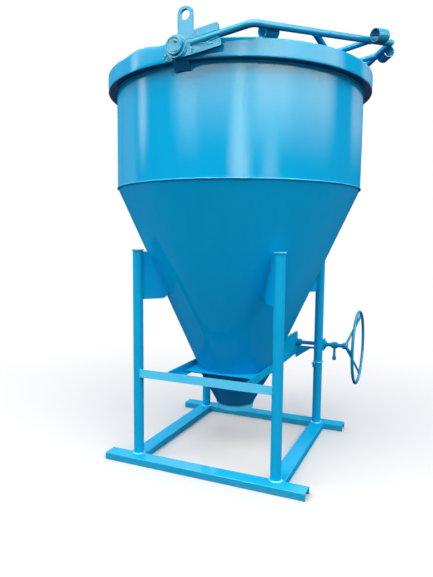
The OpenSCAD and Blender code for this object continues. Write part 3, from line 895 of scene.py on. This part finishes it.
@dataclass
class RimBand(SubAssembly):
    """The rolled channel round the rim, hammered beside the front trunnion, with its welds and brackets."""

    inner: float = 0.6002
    outer: float = 0.640
    low: float = 1.767
    top: float = 1.840
    wall: float = 0.006
    corner: float = 0.005
    corner_steps: int = 4
    web_rows: int = 6
    ledge_rows: int = 3
    steps: int = 288
    shade: float = 40.0
    hammered: float = -113.0
    hammered_half: float = 18.0
    hammer_depth: float = 0.0040
    hammer_waves: float = 5.5
    bent: float = -108.5
    bent_half: float = 9.5
    bent_up: float = 0.0125
    bent_waves: float = 2.2
    proud: float = 0.001
    rim_bead: float = 0.0042
    lug_half: float = 0.033
    lug_y: float = 0.5915
    lug_low: float = 1.642
    lug_gap: float = 0.004
    lug_bead: float = 0.0045
    bracket_half: float = 0.035
    bracket_low: float = 1.7375
    bracket_gap: float = 0.002
    bracket_bead: float = 0.0036
    bracket_ragged: float = 0.7
    beat: Beat = Beat(flats=0.0016, flat_waves=5.0, dents=0.0012, dent_waves=7.0, seed=9.4)

    def corner_arc(self, height: float, start: float) -> list[Pair]:
        """Round one outer corner of the channel.

        Args:
            height: Height of the corner's middle.
            start: Angle of its first point.

        Returns:
            Radius and height of each point.
        """
        middle = self.outer - self.corner
        angles = [math.radians(angle) for angle in stations(start, start + 90.0, self.corner_steps)]
        return [(middle + self.corner * math.cos(a), height + self.corner * math.sin(a)) for a in angles]

    def outline(self) -> list[Pair]:
        """Draw the channel's section.

        Returns:
            Radius and height of each corner.
        """
        low, top = self.low + self.corner, self.top - self.corner
        web = [(self.outer, z) for z in stations(low, top, self.web_rows)[1:-1]]
        ledge = stations(self.inner, self.outer - self.corner, self.ledge_rows)[:-1]
        under = [(radius, self.low) for radius in ledge]
        over = [(radius, self.top) for radius in reversed(ledge)]
        inside = [
            (self.inner, self.top - self.wall), (self.outer - self.wall, self.top - self.wall),
            (self.outer - self.wall, self.low + self.wall), (self.inner, self.low + self.wall),
        ]
        return under + self.corner_arc(low, -90.0) + web + self.corner_arc(top, 0.0) + over + inside

    def hammer(self, piece: Piece) -> None:
        """Beat the top edge unevenly, most of all beside the front trunnion.

        Args:
            piece: The band.
        """
        for vertex in piece.data.vertices:
            bearing = math.degrees(math.atan2(vertex.co.y, vertex.co.x))
            off = abs(bearing - self.hammered) / self.hammered_half
            mask = 0.10 + 0.90 * max(0.0, 1.0 - off) ** 0.6
            wave = 0.5 + 0.5 * noise.noise(Vector((bearing / self.hammer_waves, 0.0, 3.1)))
            share = max(0.0, (vertex.co.z - self.low) / (self.top - self.low)) ** 2
            vertex.co.z += share * (self.bend(vertex.co, bearing) - self.hammer_depth * mask * wave)

    def bend(self, place: Vector, bearing: float) -> float:
        """Say how far the outer edge is bent up, clear of where the folded bail lands.

        Args:
            place: A point of the band.
            bearing: Its bearing.

        Returns:
            The rise of the top edge there.
        """
        off = min(1.0, abs(bearing - self.bent) / self.bent_half)
        out = min(1.0, max(0.0, (place.xy.length - self.inner) / (self.outer - self.inner)))
        ripple = 1.0 + 0.35 * noise.noise(Vector((bearing / self.bent_waves, 0.0, 2.3)))
        return self.bent_up * ripple * out * (1.0 - off ** 2) ** 1.3

    def build(self) -> None:
        """Build the band and the welds of band, lugs and brackets."""
        band = spun("rim_band", self.outline(), self.steps)
        self.beat.shape(band, lambda z: 1.0)
        self.hammer(band)
        smooth(band, self.shade)
        self.keep(band, SHELL_ENAMEL, "rim_ring")
        foot = Z_AXIS * (self.low - self.proud / 2)
        self.weld("rim_weld", [ring_bead(self.inner + self.proud, foot, Z_AXIS, self.rim_bead)])
        for side in Side:
            y = side.value * self.lug_y
            feet = [Vector((x, y, self.lug_low)) for x in both(self.lug_half)]
            rise = self.top - self.lug_gap - self.lug_low
            uprights = [upright_bead(foot, rise, self.lug_bead) for foot in feet]
            self.weld(f"lug_weld_{side.label}", [*uprights, run_bead(*feet, self.lug_bead)])
            y = side.value * (self.inner + self.bracket_gap)
            feet = [Vector((x, y, self.bracket_low)) for x in both(self.bracket_half)]
            rise = self.low - self.bracket_low
            uprights = [upright_bead(foot, rise, self.bracket_bead, self.bracket_ragged) for foot in feet]
            self.weld(f"bracket_weld_{side.label}", uprights, CRUST_ENAMEL)


@dataclass
class Trunnions(SubAssembly):
    """What the trunnion pins carry: the weld round each head, a grease nipple, burnt spatter on the rim."""

    pivot_z: float = 1.808
    face_y: float = 0.6864
    sunk: float = 0.001
    edge_r: float = 0.0305
    edge_bead: float = 0.0036
    edge_ragged: float = 0.9
    plug_r: float = 0.0205
    plug_bead: float = 0.0030
    plug_ragged: float = 1.0
    nipple_at: Triple = (0.006, 0.0, 0.016)
    nipple_shade: float = 40.0
    hexagon: tuple[Pair, ...] = (
        (0.0, -0.001), (0.0062, -0.001), (0.0062, 0.0040), (0.0054, 0.0048), (0.0, 0.0048),
    )
    stem: tuple[Pair, ...] = (
        (0.0, 0.004), (0.0034, 0.004), (0.0034, 0.0078), (0.0022, 0.0090), (0.0022, 0.0098),
        (0.0033, 0.0110), (0.0033, 0.0126), (0.0020, 0.0140), (0.0008, 0.0142), (0.0006, 0.0130),
        (0.0, 0.0130),
    )
    stem_steps: int = 16
    seed: int = 11
    drops: tuple[tuple[int, float, Pair, Pair, Pair], ...] = (
        (46, 0.640, (-0.048, 0.016), (1.769, 1.800), (0.0022, 0.0058)),
        (26, 0.600, (-0.034, 0.012), (1.732, 1.762), (0.0020, 0.0052)),
    )

    def spots(self, side: Side) -> Iterator[Spot]:
        """Scatter drops on the rim and on the drum under the hub.

        Args:
            side: The trunnion's side.

        Yields:
            Point, outward normal and radius of each drop.
        """
        draw = random.Random(self.seed)
        for count, wall_r, across, heights, sizes in self.drops:
            for _ in range(count):
                x, z = draw.gauss(*across), draw.uniform(*heights)
                radius = draw.uniform(*sizes)
                out = Vector((x, side.value * math.sqrt(wall_r ** 2 - x ** 2), 0.0)).normalized()
                yield out * wall_r + Z_AXIS * z, out, radius

    def build(self) -> None:
        """Dress both trunnions."""
        parts = [spun("hexagon", self.hexagon, 6), spun("stem", self.stem, self.stem_steps)]
        pattern = joined("nipple", parts)
        for side in Side:
            out = Y_AXIS * side.value
            face = Vector((0.0, side.value * self.face_y, self.pivot_z))
            middle = face - out * self.sunk
            self.weld(f"pin_weld_{side.label}", [
                ring_bead(self.edge_r, middle, Y_AXIS, self.edge_bead, self.edge_ragged),
                ring_bead(self.plug_r, middle, Y_AXIS, self.plug_bead, self.plug_ragged),
            ], CRUST_ENAMEL)
            fitting = seated(pattern, face + Vector(self.nipple_at), out)
            fitting.name = f"grease_nipple_{side.label}"
            smooth(fitting, self.nipple_shade)
            self.keep(fitting, NIPPLE_BRASS)
            self.keep(spatter(f"rim_spatter_{side.label}", self.spots(side)), CRUST_ENAMEL)
        bpy.data.objects.remove(pattern)


@dataclass
class Bail(SubAssembly):
    """The welds of the folding bail.

    They are laid in its own plane: s from the pins to the apex, y along the pins, n square to both.
    """

    body: Body = Body.BAIL
    pivot_z: float = 1.808
    fold: float = 11.2028
    leg_y: float = 0.662
    knee: Pair = (0.303, 0.629)
    apex_s: float = 0.726
    cross_s: float = 0.474
    bar_r: float = 0.0135
    strut_r: float = 0.012
    strut_y: float = 0.100
    sleeve_half: float = 0.0275
    sleeve_groove: float = 0.0072
    sleeve_bead: float = 0.0048
    hook_back: float = 0.115
    rest_share: float = 0.14
    saddle_bead: float = 0.0038
    apex_bead: float = 0.0036
    fork_half: float = 0.005
    fork_runs: tuple[Pair, ...] = ((0.066, 0.110), (0.130, 0.172))
    fork_bead: float = 0.0034
    fork_ragged: float = 0.9
    hub_r: float = 0.042
    hub_arc: float = 76.0
    hub_points: int = 20
    hub_bead: float = 0.0056
    hub_ragged: float = 0.8
    rings: int = 36
    seed: int = 5
    drops: tuple[tuple[int, Pair, Callable[..., float], Pair, Pair], ...] = (
        (44, (0.062, 0.014), random.Random.uniform, (-0.036, 0.036), (0.0018, 0.0046)),
        (34, (0.124, 0.018), random.Random.gauss, (-0.021, 0.005), (0.0016, 0.0042)),
    )

    @property
    def turn(self) -> float:
        """Give the rafters' angle to the middle line."""
        return math.atan2(self.knee[1], self.apex_s - self.knee[0])

    def plane(self, side: Side) -> Matrix:
        """Give the frame of the bail's plane on one side: s, y and n."""
        lean = Matrix.Rotation(-math.radians(self.fold), 4, "Y")
        return Matrix.Translation(Z_AXIS * self.pivot_z) @ Matrix.Scale(side.value, 4, Y_AXIS) @ lean

    def line(self, side: Side, start: Pair, toe: float) -> Matrix:
        """Give the frame of a line of the plane that toes in: along it, out from it and n."""
        return self.plane(side) @ Matrix.Translation((*start, 0.0)) @ Matrix.Rotation(-toe, 4, "Z")

    def leg(self, side: Side) -> Matrix:
        """Give the frame of a leg, from its hub."""
        toe = math.atan2(self.leg_y - self.knee[1], self.knee[0])
        return self.line(side, (0.0, self.leg_y), toe)

    def sleeve_beads(self, side: Side) -> Iterator[Bead]:
        """Weld both pipe sleeves of one side to the rafter, along both grooves.

        Args:
            side: The half of the bail.

        Yields:
            The beads.
        """
        rafter = self.line(side, self.knee, self.turn)
        length = math.hypot(self.apex_s - self.knee[0], self.knee[1])
        for along, out in ((length - self.hook_back, self.bar_r), (length * self.rest_share, -self.bar_r)):
            for n in both(self.sleeve_groove):
                reach = (along - self.sleeve_half, along + self.sleeve_half)
                yield run_bead(*(rafter @ Vector((end, out, n)) for end in reach), self.sleeve_bead)

    def saddle_beads(self, side: Side) -> list[Bead]:
        """Weld the cross bar and a strut to the rafter, and the strut to the cross bar.

        Args:
            side: The half of the bail.

        Returns:
            The three beads.
        """
        plane = self.plane(side)
        sine, cosine = math.sin(self.turn), math.cos(self.turn)
        meet_y = (self.apex_s - self.cross_s) * math.tan(self.turn)
        meet_s = self.apex_s - self.strut_y / math.tan(self.turn)
        cross, upper, lower = [], [], []
        for angle in turns(self.rings):
            c, n = self.bar_r * math.cos(angle), self.bar_r * math.sin(angle)
            cross.append(Vector((self.cross_s + c, meet_y - (abs(c) + c * sine) / cosine, n)))
            c, n = self.strut_r * math.cos(angle), self.strut_r * math.sin(angle)
            depth = math.sqrt(self.bar_r ** 2 - n ** 2)
            upper.append(Vector((meet_s - (depth + c * cosine) / sine, self.strut_y + c, n)))
            lower.append(Vector((self.cross_s + depth, self.strut_y + c, n)))
        paths = [tuple(plane @ place for place in path) for path in (cross, upper, lower)]
        return [Bead(path, self.saddle_bead, True) for path in paths]

    def fork_beads(self, side: Side) -> Iterator[Bead]:
        """Weld the leg into the fork's slot, in short runs, and the fork to its hub.

        Args:
            side: The half of the bail.

        Yields:
            The beads.
        """
        leg = self.leg(side)
        for face in both(self.fork_half):
            for n in both(self.bar_r):
                for run in self.fork_runs:
                    ends = [leg @ Vector((along, face, n)) for along in run]
                    yield run_bead(*ends, self.fork_bead, self.fork_ragged)
            bearings = stations(-self.hub_arc, self.hub_arc, self.hub_points)
            arc = [polar(self.hub_r, bearing, face).xzy for bearing in bearings]
            yield Bead(tuple(leg @ place for place in arc), self.hub_bead, ragged=self.hub_ragged)

    def spots(self, side: Side) -> Iterator[Spot]:
        """Scatter drops on the fork's outer face, round its root and along its slot.

        Args:
            side: The half of the bail.

        Yields:
            Point, outward normal and radius of each drop.
        """
        draw = random.Random(self.seed)
        leg = self.leg(side)
        for count, reach, scatter, across, sizes in self.drops:
            for _ in range(count):
                along, n = draw.gauss(*reach), scatter(draw, *across)
                yield leg @ Vector((along, self.fork_half, n)), leg.col[1].xyz, draw.uniform(*sizes)

    def mitre_bead(self) -> Bead:
        """Weld the mitre where both rafters meet.

        Returns:
            The bead.
        """
        path = []
        for angle in turns(self.rings):
            s = self.apex_s + self.bar_r * math.cos(angle) / math.sin(self.turn)
            path.append(self.plane(Side.REAR) @ Vector((s, 0.0, self.bar_r * math.sin(angle))))
        return Bead(tuple(path), self.apex_bead, True)

    def build(self) -> None:
        """Lay all the bail's welds."""
        for side in Side:
            self.weld(f"bail_weld_{side.label}", [*self.sleeve_beads(side), *self.saddle_beads(side)])
            self.weld(f"fork_weld_{side.label}", self.fork_beads(side), CRUST_ENAMEL)
            self.keep(spatter(f"fork_spatter_{side.label}", self.spots(side)), CRUST_ENAMEL)
        self.weld("bail_apex_weld", [self.mitre_bead()])


@dataclass
class Stand(SubAssembly):
    """The welds of posts, gussets, skids and front rail."""

    post_x: float = 0.348845
    post_y: float = 0.394298
    post_r: float = 0.02415
    post_low: float = 0.034
    post_top: float = 1.023
    proud: float = 0.001
    foot_bead: float = 0.0068
    cap_bead: float = 0.0026
    clip_z: float = 0.388
    clip_bead: float = 0.0042
    gusset_low: float = 0.812
    gusset_top: float = 1.015
    gusset_half: float = 0.0045
    gusset_drop: float = 0.018
    gusset_bead: float = 0.0042
    foot_r: float = 0.194
    foot_z: float = 0.421
    cone_slope: float = 0.406 / 0.900
    cone_bead: float = 0.0046
    rail_y: float = 0.4148
    rail_end_x: float = 0.3345
    rail_low: float = 0.418
    rail_top: float = 0.454
    rail_bead: float = 0.0040
    skid_inner_y: float = 0.3893
    bar_x: float = 0.353845
    bar_half: float = 0.0375
    bar_sunk: float = 0.0004
    bar_gap: float = 0.004
    bar_rise: float = 0.026
    bar_bead: float = 0.0040
    flange_bead: float = 0.0036
    corners: tuple[Pair, ...] = ((-1, -1), (1, -1), (-1, 1), (1, 1))

    def post_beads(self) -> Iterator[Bead]:
        """Weld the posts to the skids and close them under their caps.

        Yields:
            The beads.
        """
        for x, y in self.corners:
            foot = Vector((x * self.post_x, y * self.post_y, self.post_low))
            yield ring_bead(self.post_r + self.proud, foot, Z_AXIS, self.foot_bead)
            head = Vector((x * self.post_x, y * self.post_y, self.post_top - self.proud / 2))
            yield ring_bead(self.post_r + self.proud / 2, head, Z_AXIS, self.cap_bead)
        clipped = Vector((self.post_x, self.post_y, self.clip_z))
        yield ring_bead(self.post_r + self.proud, clipped, Z_AXIS, self.clip_bead)

    def gusset_beads(self) -> Iterator[Bead]:
        """Weld each gusset to its post and to the cone, on both faces.

        Yields:
            The beads.
        """
        reach = math.hypot(self.post_x, self.post_y) - self.post_r
        for x, y in self.corners:
            out = Vector((x * self.post_x, y * self.post_y, 0.0)).normalized()
            across = Z_AXIS.cross(out)
            for face in both(self.gusset_half):
                heights = (self.gusset_low - self.gusset_drop, self.gusset_top)
                ends = [out * reach + across * face + Z_AXIS * z for z in heights]
                yield run_bead(*ends, self.gusset_bead)
                ends = []
                for z in (self.gusset_low, self.gusset_top):
                    radius = self.foot_r + (z - self.foot_z) * self.cone_slope
                    ends.append(out * radius + across * face + Z_AXIS * z)
                yield run_bead(*ends, self.cone_bead)

    def floor_beads(self) -> Iterator[Bead]:
        """Weld the side bars between the skids and the front rail between its posts.

        Yields:
            The beads.
        """
        half = X_AXIS * (self.bar_half - self.bar_gap)
        for x, y in self.corners:
            joint = Vector((x * self.bar_x, y * self.skid_inner_y, self.post_low - self.bar_sunk))
            yield run_bead(joint - half, joint + half, self.bar_bead)
            for edge in both(self.bar_half):
                foot = Vector((joint.x + edge, joint.y, self.bar_gap))
                yield upright_bead(foot, self.bar_rise, self.flange_bead)
        for x in both(self.rail_end_x):
            foot = Vector((x, -self.rail_y, self.rail_low))
            yield upright_bead(foot, self.rail_top - self.rail_low, self.rail_bead)

    def build(self) -> None:
        """Lay all the stand's welds."""
        # painted highlight: the post welds take the paler film so they read as lit crescents
        self.weld("post_welds", self.post_beads(), PAINTED_LIGHT_ENAMEL)
        self.weld("gusset_welds", self.gusset_beads())
        self.weld("skid_welds", self.floor_beads())


@dataclass
class GateFrame(SubAssembly):
    """The welds round the gate's rails, cheeks, outrigger, funnel and spout."""

    rail_x: float = 0.203018
    rail_top: float = 0.4472
    cheek_runs: tuple[Pair, ...] = ((0.20, 0.29), (0.33, 0.42), (0.455, 0.489))
    cheek_bead: float = 0.0034
    shaft_y: float = 0.462948
    outrigger_low: float = 0.387
    outrigger_top: float = 0.4545
    outrigger_half: float = 0.0045
    outrigger_bead: float = 0.0038
    bearing_x: float = 0.3618
    bearing_low: float = 0.4455
    funnel_r: float = 0.1935
    funnel_z: float = 0.4016
    funnel_bead: float = 0.0036
    spout_r: float = 0.0955
    spout_z: float = 0.2258
    spout_bead: float = 0.0034

    def plate_beads(self) -> Iterator[Bead]:
        """Weld the cheeks to the rails, and the outrigger to the rail and the bearing plate.

        Yields:
            The beads.
        """
        for x in both(self.rail_x):
            for run in self.cheek_runs:
                yield run_bead(*(Vector((x, y, self.rail_top)) for y in run), self.cheek_bead)
        for face in both(self.outrigger_half):
            for x, low in ((self.rail_x, self.outrigger_low), (self.bearing_x, self.bearing_low)):
                ends = [Vector((x, self.shaft_y + face, z)) for z in (low, self.outrigger_top)]
                yield run_bead(*ends, self.outrigger_bead)

    def build(self) -> None:
        """Lay the welds."""
        self.weld("gate_frame_welds", self.plate_beads())
        self.weld("funnel_welds", [
            ring_bead(self.funnel_r, Z_AXIS * self.funnel_z, Z_AXIS, self.funnel_bead),
            ring_bead(self.spout_r, Z_AXIS * self.spout_z, Z_AXIS, self.spout_bead),
        ])


@dataclass
class SlideGate(SubAssembly):
    """The welds that hold the racks on the gate."""

    body: Body = Body.GATE
    rack_x: float = 0.178018
    rack_half: float = 0.012
    plate_top: float = 0.4203
    runs: tuple[Pair, ...] = ((0.145, 0.185), (0.275, 0.315), (0.435, 0.480))
    bead: float = 0.0030

    def build(self) -> None:
        """Lay short runs along both sides of both racks."""
        edges = [x + edge for x in both(self.rack_x) for edge in both(self.rack_half)]
        lines = [[Vector((x, y, self.plate_top)) for y in run] for x in edges for run in self.runs]
        self.weld("rack_welds", [run_bead(*ends, self.bead) for ends in lines])


@dataclass
class Handwheel(SubAssembly):
    """The welds of the spokes, and the set screws of collars and hub."""

    body: Body = Body.HANDWHEEL
    shaft_y: float = 0.462948
    shaft_z: float = 0.4771
    wheel_x: float = 0.488018
    dish: float = 0.070
    wheel_r: float = 0.200
    rod_r: float = 0.008
    spoke_r: float = 0.0065
    spoke_bead: float = 0.0034
    hub_r: float = 0.018
    hub_screw_x: float = 0.008
    spokes: int = 3
    collar_r: float = 0.018
    collars: tuple[float, ...] = (-0.228918, 0.228918, 0.416218, 0.437818)
    screw_steps: int = 12
    screw_turn: float = 50.0
    screw_step: float = 33.0
    screw_shade: float = 30.0
    screw: tuple[Pair, ...] = (
        (0.0, -0.004), (0.0032, -0.004), (0.0032, 0.0008), (0.0026, 0.0015),
        (0.0016, 0.0015), (0.0016, -0.0012), (0.0, -0.0012),
    )

    def spoke_beads(self) -> Iterator[Bead]:
        """Weld each spoke to the hub and to the rim.

        Yields:
            The beads.
        """
        lean = math.atan2(self.dish, self.wheel_r)
        sine, cosine = math.sin(lean), math.cos(lean)
        middle = Vector((self.wheel_x, self.shaft_y, self.shaft_z))
        far = math.hypot(self.wheel_r, self.dish) - self.rod_r
        for i in range(self.spokes):
            turn = math.radians(90.0 + 360.0 / self.spokes * i)
            along = Vector((sine, -cosine * math.sin(turn), cosine * math.cos(turn)))
            for reach in (self.hub_r / cosine, far):
                yield ring_bead(self.spoke_r, middle + along * reach, along, self.spoke_bead)

    def build(self) -> None:
        """Dress the wheel and its shaft."""
        self.weld("spoke_welds", self.spoke_beads())
        pattern = spun("screw", self.screw, self.screw_steps)
        seats = [(x, self.collar_r) for x in self.collars] + [(self.wheel_x + self.hub_screw_x, self.hub_r)]
        screws = []
        for i, (x, radius) in enumerate(seats):
            turn = math.radians(self.screw_turn + self.screw_step * i)
            out = Vector((0.0, math.cos(turn), math.sin(turn)))
            screws.append(seated(pattern, Vector((x, self.shaft_y, self.shaft_z)) + out * radius, out))
        bpy.data.objects.remove(pattern)
        piece = joined("set_screws", screws)
        smooth(piece, self.screw_shade)
        self.keep(piece, GEAR_STEEL)


@dataclass
class SolidParts:
    """The solids whose shape stays, with their finishes and rounded edges."""

    nodes: dict[str, Piece]
    edge: float = 0.0012
    sharpest: float = 38.0
    shells: tuple[str, ...] = ("drum", "cone", "rim_ring")
    coats: tuple[tuple[Finish, tuple[str, ...]], ...] = (
        (GEAR_STEEL, ("rack_", "pinion_")),
        # painted shade on the rim brackets and lower cone
        (PAINTED_SHADE_ENAMEL, ("rim_bracket_", "lower_cone")),
        # painted light: paler film on the front rail, post caps and spout
        (PAINTED_LIGHT_ENAMEL, ("front_rail", "post_caps", "spout")),
        # painted light: skids take the whiter-tinted film
        (SKID_LIT_ENAMEL, ("skid_",)),
        # painted light and shade: gussets take the cone's brightened film
        (CONE_LIT_SHADED_ENAMEL, ("gusset_",)),
        (BAIL_ENAMEL, ("bail_", "hook_", "rest_", "lug_", "trunnion_")),
        (BAIL_ENAMEL, ("wheel_", "drive_", "shaft_", "drop_")),
    )

    def soften(self, node: Piece) -> None:
        """Round a solid's edges and shade it by its faces, in modifiers alone.

        Args:
            node: The solid.
        """
        close = node.modifiers.new("close", "WELD")
        close.merge_threshold = MERGE
        edges = node.modifiers.new("edges", "BEVEL")
        edges.width = self.edge
        edges.segments = 2
        edges.limit_method = "ANGLE"
        edges.angle_limit = math.radians(self.sharpest)
        shade = node.modifiers.new("shade", "WEIGHTED_NORMAL")
        shade.keep_sharp = False

    def finish(self, name: str) -> Finish:
        """Choose a solid's finish by its name."""
        fitting = (finish for finish, starts in self.coats if name.startswith(starts))
        return next(fitting, STAND_ENAMEL)

    def dress(self) -> None:
        """Give each solid its finish, and soft edges to all but gears and replaced shells."""
        for name, node in self.nodes.items():
            finish = self.finish(name)
            coat(node, finish)
            if finish is not GEAR_STEEL and name not in self.shells:
                self.soften(node)
            LOG.info("%s: solid in %s", name, finish.name)


@dataclass(frozen=True)
class Panel:
    """One soft panel of the reflector: bearing, half width and soft edge in degrees, level, lower edge."""

    bearing: float
    half: float
    edge: float
    level: float
    low: float


@dataclass
class Studio:
    """Floor, world, reflector, lights and the camera at the photograph's viewpoint."""

    camera_at: Triple = (0.96923, -2.47024, 1.0859)
    right: Triple = (0.91541, 0.40238, 0.00886)
    forward: Triple = (-0.39967, 0.91134, -0.09863)
    lens: float = 32.0
    sensor: float = 36.0
    clip: Pair = (0.02, 200.0)
    floor_size: float = 40.0
    floor_z: float = -0.0005
    floor_seen: Triple = (0.87, 0.80, 0.71)
    floor_bounced: Triple = (0.04, 0.045, 0.05)
    floor_fade: Pair = (0.9, 2.6)
    sky: Triple = (0.84, 0.97, 1.18)
    horizon: float = 0.75
    zenith: float = 1.00
    dome_r: float = 5.5
    dome_z: float = 1.45
    dome_low: float = 0.9
    dome_seam: float = 45.0
    base: float = 0.5
    soft: float = 0.75
    soft_power: float = 1.6
    ceiling: float = 7.0
    ceiling_low: float = 4.2
    ceiling_full: float = 5.6
    glow_tint: Triple = (1.0, 0.80, 0.56)
    lamps: tuple[tuple[str, float], ...] = (("key_left", -118.0), ("key_right", -36.0))
    lamp_rise: float = 45.0
    lamp_away: float = 5.0
    lamp_size: float = 3.2
    lamp_level: float = 4.1
    panels: tuple[Panel, ...] = (
        Panel(-96.0, 56.0, 22.0, 16.0, 2.90),
        Panel(-243.0, 8.0, 8.0, 10.0, 1.90),
        Panel(-226.0, 22.0, 10.0, 4.6, 0.80),
        Panel(-183.0, 10.0, 8.0, 4.0, 0.80),
        Panel(-160.0, 2.0, 5.0, 21.0, 1.85),
        Panel(-110.0, 4.0, 10.0, 33.0, 2.02),
        Panel(-80.0, 37.0, 12.0, 27.0, 2.20),
        Panel(-67.0, 2.5, 9.0, 47.0, 1.0),
        Panel(-43.0, 2.0, 8.0, 24.0, 1.0),
        Panel(-40.0, 12.0, 20.0, 46.0, 2.05),
        Panel(-14.0, 20.0, 16.0, 34.0, 2.05),
        Panel(-285.0, 22.0, 12.0, 12.0, 1.90),
    )

    def camera(self) -> None:
        """Set the camera."""
        camera = begin("viewpoint", bpy.ops.object.camera_add)
        back = -Vector(self.forward).normalized()
        right = Vector(self.right)
        right = (right - back * right.dot(back)).normalized()
        turn = Matrix((right, back.cross(right), back)).transposed().to_4x4()
        camera.matrix_world = Matrix.Translation(self.camera_at) @ turn
        camera.data.lens = self.lens
        camera.data.sensor_width = self.sensor
        camera.data.clip_start, camera.data.clip_end = self.clip
        bpy.context.scene.camera = camera

    def world(self) -> None:
        """Light the scene from all round, brightest overhead, white where it is seen or mirrored."""
        world = bpy.data.worlds.new("studio")
        bpy.context.scene.world = world
        world.use_nodes = True
        sheet = NodeSheet(world.node_tree)
        rise = sheet.part(sheet.add("TexCoord").outputs["Generated"])
        strength = sheet.math("ADD", sheet.ramp(rise, 1.0, 0.0, self.horizon - self.zenith), self.zenith)
        level = sheet.add("Background", Color=self.sky, Strength=strength)
        white = sheet.add("Background", Color=WHITE, Strength=1.0)
        sheet.add("OutputWorld", Surface=sheet.either(sheet.mirrored(), level, white))

    def floor(self) -> None:
        """Lay the pale floor, which fades to white far from the object and keeps its shadow."""
        floor = begin("studio_floor", bpy.ops.mesh.primitive_plane_add, size=self.floor_size)
        for vertex in floor.data.vertices:
            vertex.co.z = self.floor_z
        material, sheet = new_sheet("studio_floor")
        place = sheet.add("TexCoord").outputs["Object"]
        away = sheet.add("VectorMath", {"operation": "LENGTH"}, Vector=place).outputs["Value"]
        seen = sheet.mirrored()
        ground = sheet.add("BsdfDiffuse", Color=sheet.blend(seen, self.floor_bounced, self.floor_seen))
        white = sheet.add("Emission", Color=WHITE, Strength=1.0)
        fade = sheet.math("MULTIPLY", sheet.ramp(away, *self.floor_fade), seen)
        sheet.add("OutputMaterial", Surface=sheet.either(fade, ground, white))
        floor.data.materials.append(material)
        floor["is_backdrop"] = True

    def glow(self, sheet: NodeSheet) -> Socket:
        """Add up the reflector's panels.

        Args:
            sheet: The reflector's nodes.

        Returns:
            The level at each place.
        """
        place = sheet.add("TexCoord").outputs["Object"]
        x, y, z = (sheet.part(place, axis) for axis in "XYZ")
        turned = sheet.math("DEGREES", sheet.math("ARCTAN2", y, x))
        bearing = sheet.math("WRAP", turned, self.dome_seam, self.dome_seam - 360.0)
        overhead = sheet.ramp(z, self.ceiling_low, self.ceiling_full, self.ceiling)
        total = sheet.math("MAXIMUM", overhead, self.base)
        for panel in self.panels:
            off = sheet.math("ABSOLUTE", sheet.math("SUBTRACT", bearing, panel.bearing))
            level = sheet.ramp(off, panel.half + panel.edge, panel.half, panel.level)
            rise = sheet.math("POWER", sheet.ramp(z, panel.low, panel.low + self.soft), self.soft_power)
            total = sheet.math("MAXIMUM", total, sheet.math("MULTIPLY", level, rise))
        bounced = sheet.add("LightPath").outputs["Diffuse Depth"]
        return sheet.math("MULTIPLY", total, sheet.math("LESS_THAN", bounced, 0.5))

    def reflector(self) -> None:
        """Hang a dome of soft panels that only mirrors see."""
        dome = begin("studio_reflector", bpy.ops.mesh.primitive_uv_sphere_add, segments=96, ring_count=48,
                     radius=self.dome_r)
        dome.data.transform(Matrix.Translation(Z_AXIS * self.dome_z))
        cut = {"plane_co": (0, 0, self.dome_low), "plane_no": (0, 0, 1), "clear_inner": True}
        in_edit(dome, lambda: bpy.ops.mesh.bisect(**cut))
        material, sheet = new_sheet("studio_reflector")
        glow = sheet.add("Emission", Color=self.glow_tint, Strength=self.glow(sheet))
        sheet.add("OutputMaterial", Surface=glow.outputs[0])
        material.cycles.emission_sampling = "NONE"
        dome.data.materials.append(material)
        for ray in ("camera", "diffuse", "transmission", "shadow"):
            setattr(dome, f"visible_{ray}", False)
        dome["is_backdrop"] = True

    def lamp(self, name: str, bearing: float) -> None:
        """Hang one soft square lamp that faces the hopper.

        Args:
            name: The lamp's name.
            bearing: Its bearing.
        """
        lamp = begin(name, bpy.ops.object.light_add, type="AREA")
        lamp.data.shape = "SQUARE"
        lamp.data.size = self.lamp_size
        lamp.data.energy = self.lamp_level * math.pi * self.lamp_size ** 2
        lamp.visible_camera = False
        lamp.visible_glossy = False
        tilt = math.radians(self.lamp_rise)
        out = polar(math.cos(tilt), bearing, math.sin(tilt))
        lamp.matrix_world = Matrix.Translation(Z_AXIS * self.dome_z + out * self.lamp_away) @ facing(out)

    def build(self) -> None:
        """Set up the whole studio."""
        self.camera()
        self.world()
        self.floor()
        self.reflector()
        for name, bearing in self.lamps:
            self.lamp(name, bearing)
        bpy.context.scene.view_settings.view_transform = "Standard"


def main() -> None:
    """Build every sub-assembly in order and report each piece."""
    logging.basicConfig(level=logging.INFO, format="%(message)s")
    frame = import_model()
    solid_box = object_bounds()
    Studio().build()
    SolidParts(frame["nodes"]).dress()
    for group in (HopperShell, RimBand, Trunnions, Stand, GateFrame, Bail, SlideGate, Handwheel):
        group().build()
    shown_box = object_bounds()
    sizes = {"solids": [list(corner) for corner in solid_box],
             "shown": [list(corner) for corner in shown_box]}
    LOG.info("solids %s, shown %s", sizes["solids"], sizes["shown"])


if __name__ == "__main__":
    main()
